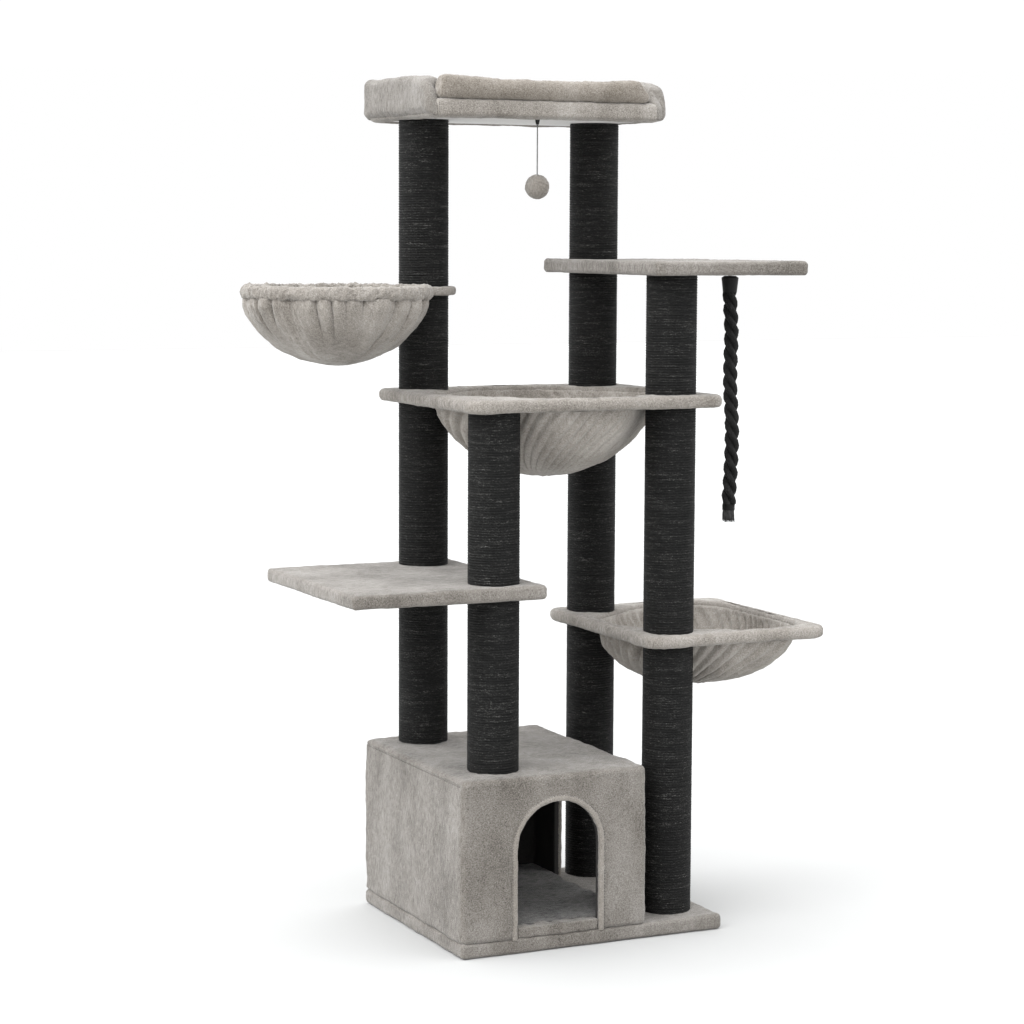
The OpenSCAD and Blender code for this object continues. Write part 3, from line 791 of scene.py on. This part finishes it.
def door_binding(door, seed):
    """Soft plush edging round a door."""
    wall = door.face - door.out * 3.5 * MM
    profile = [(u, wall + door.out * v) for u, v in BINDING_PROFILE]
    piece = door.swept(door.node + "_plush", profile, 40, BINDING_PLUSH)
    modified(piece, "SUBSURF", levels=2)
    ruffle(piece, seed, (0.35, 28), (0.25, 9))
    frame_piece(piece, door.node, slot="binding_plush")


def door_reveal(door):
    """Lining across the wall's thickness, behind a door's binding, painted near-black as the shade
    in the doorway.
    """
    depth = np.linspace(door.face - door.out * 9 * MM, door.back, 5)
    profile = [(0.6 * MM, y) for y in depth] + [(2.8 * MM, y) for y in depth[::-1]]
    piece = door.swept(door.node + "_reveal", profile, 32, SHADE_LINING)
    frame_piece(piece, slot="lining")


def door_stitches(door):
    """A row of stitches just outside a door's binding."""
    path, _ = arch_path(door.half + 13 * MM, door.crown + 13 * MM, DOOR_FOOT + 7 * MM)
    wall = door.face - door.out * 1.2 * MM
    facing = (0, -1, 0) if door.axis == 1 else (1, 0, 0)
    points = door.place(path[:, 0], path[:, 1], wall)
    stitches(door.node + "_stitches", points, [facing] * len(path), 4, 7)


def cutter(door):
    """Solid that cuts a door through the walls."""
    points, _ = arch_path(door.half + 3 * MM, door.crown + 3 * MM, 0.0)
    rings = [door.place(points[:, 0], points[:, 1], door.face + s * 50 * MM) for s in (-1, 1)]
    n = len(points)
    faces = quads(2, n, False, True) + [tuple(range(n)), tuple(range(2 * n - 1, n - 1, -1))]
    return new_object("cutter", np.vstack(rings), faces, PLUSH)


FRONT_DOOR = Door("front_door_binding", 1)
SIDE_DOOR = Door("side_door_binding", 0)


def cut_doors(walls):
    """Cuts both doors through the walls."""
    for door in (FRONT_DOOR, SIDE_DOOR):
        tool = cutter(door)
        modified(walls, "BOOLEAN", operation="DIFFERENCE", object=tool, solver="EXACT")
        bpy.data.objects.remove(tool)


def house_cover(low, high, seam_z):
    """One fitted plush cover with rounded edges and a seam round its top, but for the front."""
    lines = [seam_z + d * MM for d in (-5, -2.5, -1, 0, 1, 2.5)]
    lines += [low.z + d * MM for d in (2, 4, 7, 11)]
    house = rounded_box("house_plush", low, high, 14, 9, PLUSH, True, lines)
    co, out = coords(house), normals(house)
    rise = co[:, 2]
    dent = 2.2 * MM * np.exp(-(((rise - seam_z) / (1.6 * MM)) ** 2))
    dent = dent * (np.abs(out[:, 2]) < 0.9) * (out[:, 1] > -0.5)
    dent += 3.0 * MM * np.exp(-(((rise - low.z) / (4 * MM)) ** 2))
    belly = 1.6 * MM * np.sin(math.pi * np.clip((rise - low.z) / (high.z - low.z), 0, 1))
    set_coords(house, co + out * (belly * 0.6 - dent)[:, None])
    ruffle(house, 31, (0.9, 150), (0.45, 34), (0.25, 12))
    modified(house, "SOLIDIFY", thickness=HOUSE_SKIN, offset=-1)
    cut_doors(house)
    frame_piece(house, "house_cover")


def house_shade_lining(low, high):
    """Lining over the inside of the panels: the grey plush painted near-black as the shade inside
    the house.
    """
    inner_low = low + Vector((WALL_T, WALL_T, 0))
    inner_high = Vector((high.x - WALL_T, high.y - WALL_T, high.z - WALL_T))
    walls = rounded_box(
        "house_shade_lining", inner_low, inner_high, 4, 14, SHADE_LINING, True
    )
    ruffle(walls, 35, (0.7, 90))
    modified(walls, "SOLIDIFY", thickness=HOUSE_SKIN, offset=1)
    cut_doors(walls)
    panels = [f"house_{side}_panel" for side in ("front", "left", "back", "right", "top")]
    frame_piece(walls, *panels, slot="house_board")


def house_seams(low, high, seam_z):
    """Stitches under the top seam on the right, back and left."""
    edge, lift, count = 10 * MM, 0.4 * MM, 30
    west, east = low.x + edge, high.x - edge
    south, north = low.y + edge, high.y - edge
    sides = [
        ((high.x + lift, south), (high.x + lift, north), (1, 0, 0)),
        ((east, high.y + lift), (west, high.y + lift), (0, 1, 0)),
        ((low.x - lift, north), (low.x - lift, south), (-1, 0, 0)),
    ]
    z = seam_z - 1.5 * MM
    for k, (start, end, facing) in enumerate(sides):
        line = np.linspace((*start, z), (*end, z), count)
        stitches(f"house_seam_{k + 1}", line, [facing] * count, 5, 9)


def make_house():
    low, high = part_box("house_cover")
    seam_z = high.z - SEAM_DROP
    house_cover(low, high, seam_z)
    house_shade_lining(low, high)
    house_seams(low, high, seam_z)
    for k, door in enumerate((FRONT_DOOR, SIDE_DOOR)):
        door_binding(door, 41 + k)
        door_reveal(door)
        door_stitches(door)


def make_mat():
    """Plush mat on the house's floor, with a tongue out to the doorway; the pad's plush is painted
    dark as the shade inside the house.
    """
    low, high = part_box("house_mat")
    inner = (low.x, low.y + WALL_T + 2 * MM, low.z)
    mat = rounded_box("house_mat_pad", inner, high, 8, 10, SHADED_MAT_PLUSH)
    ruffle(mat, 51, (1.2, 90), (0.5, 25))
    padded_piece(mat, 0.7, "house_mat")
    half = FRONT_DOOR.half - 1 * MM
    tongue = rounded_box(
        "house_mat_tongue", (FRONT_DOOR.middle - half, low.y, low.z),
        (FRONT_DOOR.middle + half, low.y + 34 * MM, high.z), 4, 6, PLUSH,
    )
    ruffle(tongue, 52, (0.6, 40), (0.3, 12))
    padded_piece(tongue, 0.8)


make_house()
make_mat()

# ---------- square hammocks ----------

POST_SPOTS = [plan_middle(f"{post}_sisal_1") for post in POST_LENGTHS]
POST_R = 60 * MM
POST_GAP = 4 * MM
RAIL_W = 32 * MM
RAIL_R = 13 * MM
RAIL_CUTS = 7
FRAME_CORNER = 35 * MM
OUTLINE_POWER = 14
SLING_T = 4 * MM


class Hammock:
    """A square hammock's outlines, from its wrapped frame's and its sling's boxes."""

    def __init__(self, name, posts, soft_corners, fullness):
        low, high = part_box(f"{name}_wrap")
        self.name, self.fullness = name, fullness
        self.low, self.high = low, high
        self.x, self.y = plan_middle(f"{name}_wrap")
        self.half = ((high.x - low.x) / 2, (high.y - low.y) / 2)
        self.rim_z = (low.z + high.z) / 2
        self.sag = self.rim_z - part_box(f"{name}_sling")[0].z
        self.corners = [
            (math.atan2(y - self.y, x - self.x),
             math.hypot(y - self.y, x - self.x) - POST_R - POST_GAP)
            for x, y in posts
        ]
        for side in soft_corners:
            x, y = self.half[0] - RAIL_W, side * (self.half[1] - RAIL_W)
            self.corners.append((math.atan2(y, x), math.hypot(y, x) - FRAME_CORNER))

    def opening(self, turn, grow=0.0):
        """Radius of the opening in each direction."""
        a, b = (h - RAIL_W + grow for h in self.half)
        total = (np.abs(np.cos(turn)) / a) ** OUTLINE_POWER
        total += (np.abs(np.sin(turn)) / b) ** OUTLINE_POWER
        for angle, keep in self.corners:
            total += (np.maximum(0, np.cos(turn - angle)) / (keep + grow)) ** OUTLINE_POWER
        return total ** (-1 / OUTLINE_POWER)

    def outside(self, turn):
        """Radius of the frame's outer edge in each direction, a rectangle with round corners."""
        c, s = np.abs(np.cos(turn)), np.abs(np.sin(turn))
        a, b = self.half
        flat = np.minimum(a / np.maximum(c, 1e-9), b / np.maximum(s, 1e-9))
        px, py = a - FRAME_CORNER, b - FRAME_CORNER
        dot = px * c + py * s
        inside = np.maximum(dot**2 - (px**2 + py**2 - FRAME_CORNER**2), 0)
        round_r = dot + np.sqrt(inside)
        corner = (flat * c > px) & (flat * s > py)
        return np.where(corner, np.minimum(round_r, flat), flat)


def rail_profile(height):
    """Closed outline of a wrapped rail with round edges: (share of the width, reach, height)."""
    points = []
    for corner_s, corner_z, start in ((1, -1, -90), (1, 1, 0), (0, 1, 90), (0, -1, 180)):
        for k in range(6):
            a = math.radians(start + 18 * k)
            rise = corner_z * (height / 2 - RAIL_R) + RAIL_R * math.sin(a)
            points.append((corner_s, RAIL_R * math.cos(a), rise))
        if start in (0, 180):
            for k in range(1, RAIL_CUTS):
                share = k / RAIL_CUTS
                share = 1 - share if start == 0 else share
                points.append((share, RAIL_R * (1 - 2 * share), corner_z * height / 2))
    return points


def rail_wrap(hammock, seed):
    """Plush wound round the hammock's frame."""
    turn = turns(360)
    inner, outer = hammock.opening(turn), hammock.outside(turn)
    rings = []
    for share, reach, rise in rail_profile(hammock.high.z - hammock.low.z + 2 * MM):
        edge = inner + RAIL_R + (outer - inner - 2 * RAIL_R) * share
        rings.append(circle(hammock.x, hammock.y, edge + reach, turn, hammock.rim_z + rise))
    rings = np.swapaxes(np.array(rings), 0, 1)
    piece = loft(f"{hammock.name}_rail", rings, RIM_PLUSH, closed_path=True)
    ruffle(piece, seed, (0.5, 90), (0.25, 20), (0.22, 8))
    frame_piece(piece, f"{hammock.name}_wrap", f"{hammock.name}_frame")


def sling_cloth(name, place, sides, rows, fold, seed, material):
    """A hanging cloth bowl: place(turn, down) gives its points, fold the pleats' height."""
    turn = turns(sides)
    down = np.linspace(0, 1, rows) ** 0.85 * (math.pi / 2) * 0.985
    rings = np.array([place(turn, d) for d in down])
    verts = np.vstack([rings.reshape(-1, 3), place(np.zeros(1), math.pi / 2)])
    faces = quads(rows, sides, False, True)
    last, tip = (rows - 1) * sides, len(verts) - 1
    faces += [(last + k, last + (k + 1) % sides, tip) for k in range(sides)]
    cloth = new_object(name, verts, faces, material)
    co, out = coords(cloth), normals(cloth)
    sign = -1.0 if out[tip, 2] > 0 else 1.0
    grid_turn = np.append(np.tile(turn, rows), 0.0)
    grid_down = np.append(np.repeat(down, sides), math.pi / 2)
    set_coords(cloth, co + sign * out * fold(grid_turn, grid_down)[:, None])
    ruffle(cloth, seed, (0.8, 70), (0.35, 18))
    return modified(cloth, "SOLIDIFY", thickness=SLING_T, offset=sign)


def pleat(angle):
    """A wave with rounded crests and narrower valleys, from -1 to 1."""
    return np.arcsin(0.93 * np.sin(angle)) / math.asin(0.93)


def hammock_sling(hammock, pleats, swirl, seed):
    """The cloth seat, pleated diagonally away from its rim."""

    def place(turn, down):
        reach = hammock.opening(turn, -4 * MM) * math.cos(down)
        drop = hammock.sag * math.sin(down) ** hammock.fullness
        return circle(hammock.x, hammock.y, reach, turn, hammock.rim_z - drop + 4 * MM)

    def fold(turn, down):
        depth = down / (math.pi / 2)
        rise = smoothstep(depth, 0.0, 0.1) * (1 - smoothstep(depth, 0.45, 0.92))
        uneven = 0.62 + 0.38 * np.sin(3 * turn + 0.8) * np.sin(turn + 2)
        lines = pleats * (turn + swirl * depth) + 1.3 * np.sin(3 * turn) + 0.7 * np.sin(8 * turn)
        broad = 1.2 * MM * smoothstep(depth, 0.1, 0.5) * pleat(9 * turn + 4 * depth)
        return rise * 5.6 * MM * uneven * pleat(lines) + broad

    # the seat's plush is the lighter copy, with painted light
    cloth = sling_cloth(f"{hammock.name}_seat", place, 480, 52, fold, seed, LIT_SLING_PLUSH)
    frame_piece(cloth, f"{hammock.name}_sling", slot="sling_plush")


MIDDLE = Hammock("middle_hammock", POST_SPOTS, (), 1.25)
LOWER = Hammock("lower_hammock", POST_SPOTS[2:], (1, -1), 1.0)
rail_wrap(MIDDLE, 61)
hammock_sling(MIDDLE, pleats=48, swirl=0.75, seed=62)
rail_wrap(LOWER, 64)
hammock_sling(LOWER, pleats=40, swirl=0.6, seed=65)

# ---------- round bowl ----------

BOWL_TUBE = 29 * MM
TONGUE_W = 156 * MM


def softened(value):
    """A cosine or sine pushed towards its ends, for a squarer section."""
    return math.copysign(abs(value) ** 0.75, value)


def bowl_rim(x, y, outer, low_z, high_z):
    """Puckered padding round the bowl's ring."""
    turn = turns(420)
    puckers = np.sin(46 * turn + 2.2 * np.sin(5 * turn)) + 0.6 * np.sin(19 * turn + 1)
    rings = []
    for a in turns(32):
        c, s = softened(math.cos(a)), softened(math.sin(a))
        swell = 1 + 0.045 * puckers * (0.4 + 0.6 * abs(s))
        reach = outer - BOWL_TUBE / 2 + BOWL_TUBE / 2 * c * swell
        rise = (low_z + high_z) / 2 + (high_z - low_z) / 2 * s * swell
        rings.append(circle(x, y, reach, turn, rise))
    rim = loft("bowl_rim_pad", np.swapaxes(np.array(rings), 0, 1), RIM_PLUSH, closed_path=True)
    ruffle(rim, 71, (0.9, 26), (0.9, 10), (0.6, 5.5))
    padded_piece(rim, 0.8, "bowl_rim")


def bowl_cloth(x, y, outer, rim_low):
    """The bowl's cloth, gathered unevenly under the rim."""
    sag = rim_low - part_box("bowl_sling")[0].z

    def place(angle, down):
        reach = (outer - 12 * MM) * math.cos(down)
        drop = sag * math.sin(down) ** 1.2
        return circle(x, y, reach, angle, rim_low + 4 * MM - drop)

    def fold(angle, down):
        depth = down / (math.pi / 2)
        lean = 3.6 * depth * np.sin(4 * angle + 0.6)
        spots = 25 * angle + 2.2 * np.sin(3 * angle) + 1.6 * np.sin(7 * angle + 1) + lean
        gather = 2 * np.abs(np.sin(spots / 2)) ** 0.6 - 1
        reach = 0.62 + 0.24 * np.sin(5 * angle + 1.3) + 0.2 * np.sin(12 * angle)
        rise = 1 - smoothstep(depth, 0.0, np.maximum(reach, 0.16))
        size = 7.4 * MM + 3.2 * MM * np.sin(9 * angle + 2)
        fine = pleat(63 * angle + 2 * np.sin(4 * angle + 1))
        broad = 1.6 * MM * np.sin(6 * angle + 5 * depth) * (1 - depth)
        neck = -5 * MM * (1 - smoothstep(depth, 0.0, 0.12))
        return neck + broad + rise * (size * gather + 1.2 * MM * fine)

    cloth = sling_cloth("bowl_cloth", place, 540, 50, fold, 74, BOWL_PLUSH)
    frame_piece(cloth, "bowl_sling", slot="sling_plush")


def bowl_tongue(x, y, outer):
    """Covered tongue between the bowl's rim and its post."""
    low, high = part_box("bowl_tongue_cover")
    post_x, post_y = POST_SPOTS[1]
    toward = math.atan2(y - post_y, x - post_x)
    end = math.hypot(x - post_x, y - post_y) - outer + 8 * MM
    half = TONGUE_W / 2
    straight = np.linspace(0, 1, 9)[1:-1]
    round_end = np.linspace(math.pi / 2, 1.5 * math.pi, 33)
    outline = np.array([
        *[(end, half * v) for v in np.linspace(-1, 1, 15)],
        *[(end * (1 - s), half) for s in straight],
        *[(half * math.cos(a), half * math.sin(a)) for a in round_end],
        *[(end * s, -half) for s in straight],
    ])
    middle = np.array([end * 0.3, 0])
    c, s = math.cos(toward), math.sin(toward)
    rings = []
    for inset, rise in (
        (0.55, -1), (0.8, -1), (0.92, -1), (0.97, -0.9), (0.99, -0.6), (1, 0), (0.99, 0.6),
        (0.97, 0.9), (0.92, 1), (0.8, 1), (0.55, 1), (0.25, 1),
    ):
        u, v = (middle + (outline - middle) * inset).T
        z = (low.z + high.z) / 2 + rise * (high.z - low.z) / 2
        rings.append(np.stack([post_x + c * u - s * v, post_y + s * u + c * v, z + 0 * u], 1))
    tongue = loft("bowl_tongue_plush", rings, RIM_PLUSH)
    ruffle(tongue, 77, (0.4, 60), (0.25, 12))
    frame_piece(tongue, "bowl_tongue_cover", "bowl_frame")


def make_bowl():
    """Gathered round bowl with a padded rim and a tongue to its post."""
    low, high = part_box("bowl_rim")
    x, y = plan_middle("bowl_rim")
    outer = (high.x - low.x) / 2
    bowl_rim(x, y, outer, low.z, high.z)
    bowl_cloth(x, y, outer, low.z)
    bowl_tongue(x, y, outer)


make_bowl()

# ---------- top bed ----------

VOXEL = 5.5 * MM
SIM_FRAMES = 20
CLOTH_SETTINGS = {
    "quality": 4, "mass": 0.3, "tension_stiffness": 12, "compression_stiffness": 12,
    "shear_stiffness": 5, "bending_stiffness": 0.4, "use_pressure": True,
    "uniform_pressure_force": 4.0,
}
MOST_SWELL = 4 * MM
BED_CORNER = 46 * MM
BED_EDGE = 40 * MM
SHRINK = 1.5 * MM


def inflate(pieces):
    """Blows soft pieces up a little as cloth, and keeps each point close to its start."""
    for piece in pieces:
        modified(piece, "REMESH", mode="VOXEL", voxel_size=VOXEL, use_smooth_shade=True)
        modified(piece, "SMOOTH", factor=0.5, iterations=3)
    starts = [coords(piece) for piece in pieces]
    for piece in pieces:
        cloth = piece.modifiers.new("cloth", "CLOTH")
        for key, value in CLOTH_SETTINGS.items():
            setattr(cloth.settings, key, value)
        cloth.settings.effector_weights.gravity = 0
        cloth.collision_settings.use_collision = False
        cloth.point_cache.frame_start, cloth.point_cache.frame_end = 1, SIM_FRAMES
    for number in range(1, SIM_FRAMES + 1):
        SCENE.frame_set(number)
    depsgraph = bpy.context.evaluated_depsgraph_get()
    for piece, start in zip(pieces, starts):
        moved = np.empty(len(start) * 3, np.float32)
        piece.evaluated_get(depsgraph).data.vertices.foreach_get("co", moved)
        shift = moved.reshape(-1, 3) - start
        size = np.linalg.norm(shift, axis=1)
        shift *= np.minimum(1, MOST_SWELL / np.maximum(size, 1e-9))[:, None]
        piece.modifiers.clear()
        set_coords(piece, start + shift)
    SCENE.frame_set(1)


def fold_lines(obj, seed):
    """Shallow creases that run down a padded face."""
    co, out = coords(obj), normals(obj)
    line = waves(co * np.array((6, 6, 0.6)), 0.5, seed)
    crease = -np.exp(-((line / 0.32) ** 2))
    set_coords(obj, co + out * (0.9 * MM * crease)[:, None])


def round_corners(obj, low, high, radius):
    """Rounds the upright corners of a plan: points outside the round outline move inwards."""
    co = coords(obj)
    for side_x, edge_x in ((-1, low.x), (1, high.x)):
        for side_y, edge_y in ((-1, low.y), (1, high.y)):
            x0, y0 = edge_x - side_x * radius, edge_y - side_y * radius
            dx, dy = (co[:, 0] - x0) * side_x, (co[:, 1] - y0) * side_y
            here = (dx > 0) & (dy > 0)
            square = np.maximum(np.maximum(dx, dy), 1e-9)
            shrink = np.where(here, square / np.maximum(np.hypot(dx, dy), 1e-9), 1)
            co[:, 0] = np.where(here, x0 + side_x * dx * shrink, co[:, 0])
            co[:, 1] = np.where(here, y0 + side_y * dy * shrink, co[:, 1])
    set_coords(obj, co)


def side_bolster(name, low, high, front_share):
    """Tall side wall of the bed, from its underside up; its front end slopes and is thinner."""
    b_low, b_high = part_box(name)
    outward = -1 if name == "bed_left_bolster" else 1
    inner = b_high.x if outward < 0 else b_low.x
    outer = (low.x if outward < 0 else high.x) - outward * SHRINK
    wall = rounded_box(
        name + "_plush", (min(inner, outer), low.y + SHRINK, low.z + 1 * MM),
        (max(inner, outer), high.y - SHRINK, b_high.z - SHRINK), 12, 8, PLUSH,
    )
    co = coords(wall)
    tall = b_high.z - low.z
    stops = low.y + np.array([0, 5, 13, 20, 35, 58, 95, 130]) * MM
    tops = np.array([32, 36, 47, 57, 77, 91, 99, 103]) * MM
    co[:, 2] = low.z + (co[:, 2] - low.z) * np.interp(co[:, 1], stops, tops) / tall
    slim = front_share + (1 - front_share) * smoothstep(co[:, 1], low.y + 44 * MM, low.y + 62 * MM)
    co[:, 0] = outer + (co[:, 0] - outer) * slim
    set_coords(wall, co)
    return wall


def front_bolster():
    """Front cushion: lower in its middle, with slanting ends."""
    low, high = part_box("bed_front_bolster")
    base = low.z + 0.5 * MM
    cushion = rounded_box(
        "bed_front_bolster_plush", (low.x + SHRINK, low.y + SHRINK, base),
        (high.x - SHRINK, high.y - SHRINK, high.z - SHRINK), 11, 7, BOLSTER_PLUSH,
    )
    co = coords(cushion)
    rise = np.clip((co[:, 2] - base) / (high.z - base), 0, 1)
    middle, half = (low.x + high.x) / 2, (high.x - low.x) / 2
    u = (co[:, 0] - middle) / half
    tucked = 6 * MM * (1 - smoothstep(rise, 0.0, 0.3))
    left = 22 * MM * rise + tucked
    right = 27 * MM + 36 * MM * np.maximum(0, (rise - 0.28) / 0.72) + tucked
    co[:, 0] += np.where(u < 0, left, -right) * np.abs(u) ** 6
    co[:, 2] -= 13 * MM * (1 - np.clip(u, -1, 1) ** 2) * rise
    set_coords(cushion, co)
    return cushion


def back_bolster():
    low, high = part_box("bed_back_bolster")
    return rounded_box(
        "bed_back_bolster_plush", (low.x - 2 * MM, low.y + SHRINK, low.z - 4 * MM),
        (high.x + 2 * MM, high.y - SHRINK, high.z - SHRINK), 12, 9, PLUSH,
    )


def bed_corner_stitches(low):
    """Stitches that close the cover in front of the left bolster."""
    shares = np.arange(0, 1.01, 0.1)
    points = [(low.x + 20.5 * MM, low.y - 0.2 * MM, low.z + (6 + 26 * t) * MM) for t in shares]
    stitches("bed_corner_stitches", points, [(-0.3, -0.95, 0)] * len(points), 3.5, 5)


def clear_underside(pad, low, high):
    """Lifts the pad's underside inside its edge, so the lining shows there."""
    co = coords(pad)
    inside = np.minimum.reduce([
        co[:, 0] - low.x - BED_EDGE, high.x - BED_EDGE - co[:, 0],
        co[:, 1] - low.y - BED_EDGE, high.y - BED_EDGE - co[:, 1],
    ])
    under = co[:, 2] < low.z + 12 * MM
    lifted = np.maximum(co[:, 2], low.z + 4.2 * MM)
    edge = smoothstep(inside, -3 * MM, 3 * MM)
    co[:, 2] = np.where(under, co[:, 2] + (lifted - co[:, 2]) * edge, co[:, 2])
    set_coords(pad, co)


def make_bed():
    """Padded bed with four bolsters, sewn to one cover."""
    low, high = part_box("bed_cover")
    pad = rounded_box(
        "bed_pad", (low.x + 6 * MM, low.y + SHRINK, low.z + 0.5 * MM),
        (high.x - 6 * MM, high.y - SHRINK, high.z - SHRINK), 7, 14, RIM_PLUSH,
    )
    bolsters = {
        "bed_left_bolster": side_bolster("bed_left_bolster", low, high, 0.4),
        "bed_right_bolster": side_bolster("bed_right_bolster", low, high, 0.88),
        "bed_front_bolster": front_bolster(),
        "bed_back_bolster": back_bolster(),
    }
    inflate([pad, *bolsters.values()])
    for k, piece in enumerate(bolsters.values()):
        modified(piece, "SUBSURF", levels=1)
        fold_lines(piece, 80 + k)
        ruffle(piece, 84 + k, (0.5, 70), (0.3, 17))
    ruffle(pad, 89, (0.5, 80), (0.25, 20))
    for node, piece in {"bed_pad": pad, **bolsters}.items():
        if node != "bed_front_bolster":
            round_corners(piece, low, high, BED_CORNER)
    bed_corner_stitches(low)
    clear_underside(pad, low, high)
    padded_piece(pad, 0.5, "bed_cover", "bed_padding", "bed_board")
    for node, piece in bolsters.items():
        padded_piece(piece, 0.75, node)


make_bed()

# ---------- finish of the nodes that stay ----------

finish_nodes(WOOD, "post_plugs")
finish_nodes(CARDBOARD, "post_tubes")
finish_nodes(LINING, "bed_underside")
finish_nodes(STEEL, "joining_studs", "post_bolts", "rope_swivel")
finish_nodes(BLACK_PLASTIC, "toy_anchor", "rope_sleeve")
finish_nodes(STRING, "toy_knot")

# ---------- floor and light ----------

FLOOR_HALF = 30
FLOOR_Z = -1 * MM
HORIZON_BAND = 0.06
SIDE_BAND = 1 / 6
HORIZON_LIGHT = 1.0
OVERHEAD_LIGHT = 2.1
SIDE_LIGHT = 1.15
KEY_LIGHT = 0.9
KEY_SPREAD = math.radians(50)
KEY_COLOUR = (0.98, 0.99, 1)
KEY_AIM = (0.75, 0.1, -0.65)


def make_stage():
    """Pale matt floor."""
    mesh = bpy.data.meshes.new("floor")
    corners = [(FLOOR_HALF * x, FLOOR_HALF * y) for x, y in ((-1, -1), (1, -1), (1, 1), (-1, 1))]
    mesh.from_pydata([(x, y, FLOOR_Z) for x, y in corners], [], [(0, 1, 2, 3)])
    n = material_nodes("floor")
    speckle = n.noise((3, 3, 3), 1, 0.5)
    colour = n.ramp(speckle, 0.0, 1.0, (0.0, (0.437, 0.437, 0.433)), (1.0, (0.457, 0.457, 0.453)))
    floor = bpy.data.objects.new("floor", mesh)
    SCENE.collection.objects.link(floor)
    mesh.materials.append(n.paint(colour, Roughness=0.9, Specular_IOR_Level=0.0))


def make_light():
    """White surroundings, brighter overhead and to the left, and one broad soft sun."""
    SCENE.world = bpy.data.worlds.new("studio")
    n = Nodes(SCENE.world)
    split = n.add("ShaderNodeSeparateXYZ", {0: n.place.outputs["Generated"]})
    up = n.spread(split.outputs["Z"], HORIZON_BAND, 1.0)
    left = n.spread(split.outputs["X"], 0.0, -1.0)
    above = n.spread(split.outputs["Z"], 0.0, SIDE_BAND)
    side = n.math("MULTIPLY", left, above)
    glow = n.math("ADD", n.weighted((OVERHEAD_LIGHT, up), (SIDE_LIGHT, side)), HORIZON_LIGHT)
    cool = n.add(
        "ShaderNodeMix", {0: up, 6: (1, 1, 1, 1), 7: (0.97, 0.985, 1, 1)}, data_type="RGBA"
    )
    sky = n.tree.nodes["Background"]
    n.feed(sky.inputs["Strength"], glow)
    n.feed(sky.inputs["Color"], cool.outputs[2])
    data = bpy.data.lights.new("key", "SUN")
    data.energy, data.angle, data.color = KEY_LIGHT, KEY_SPREAD, KEY_COLOUR
    light = bpy.data.objects.new("key", data)
    light.rotation_mode = "QUATERNION"
    light.rotation_quaternion = Vector(KEY_AIM).to_track_quat("-Z", "Y")
    SCENE.collection.objects.link(light)


make_stage()
make_light()
SCENE.view_settings.view_transform = "Standard"
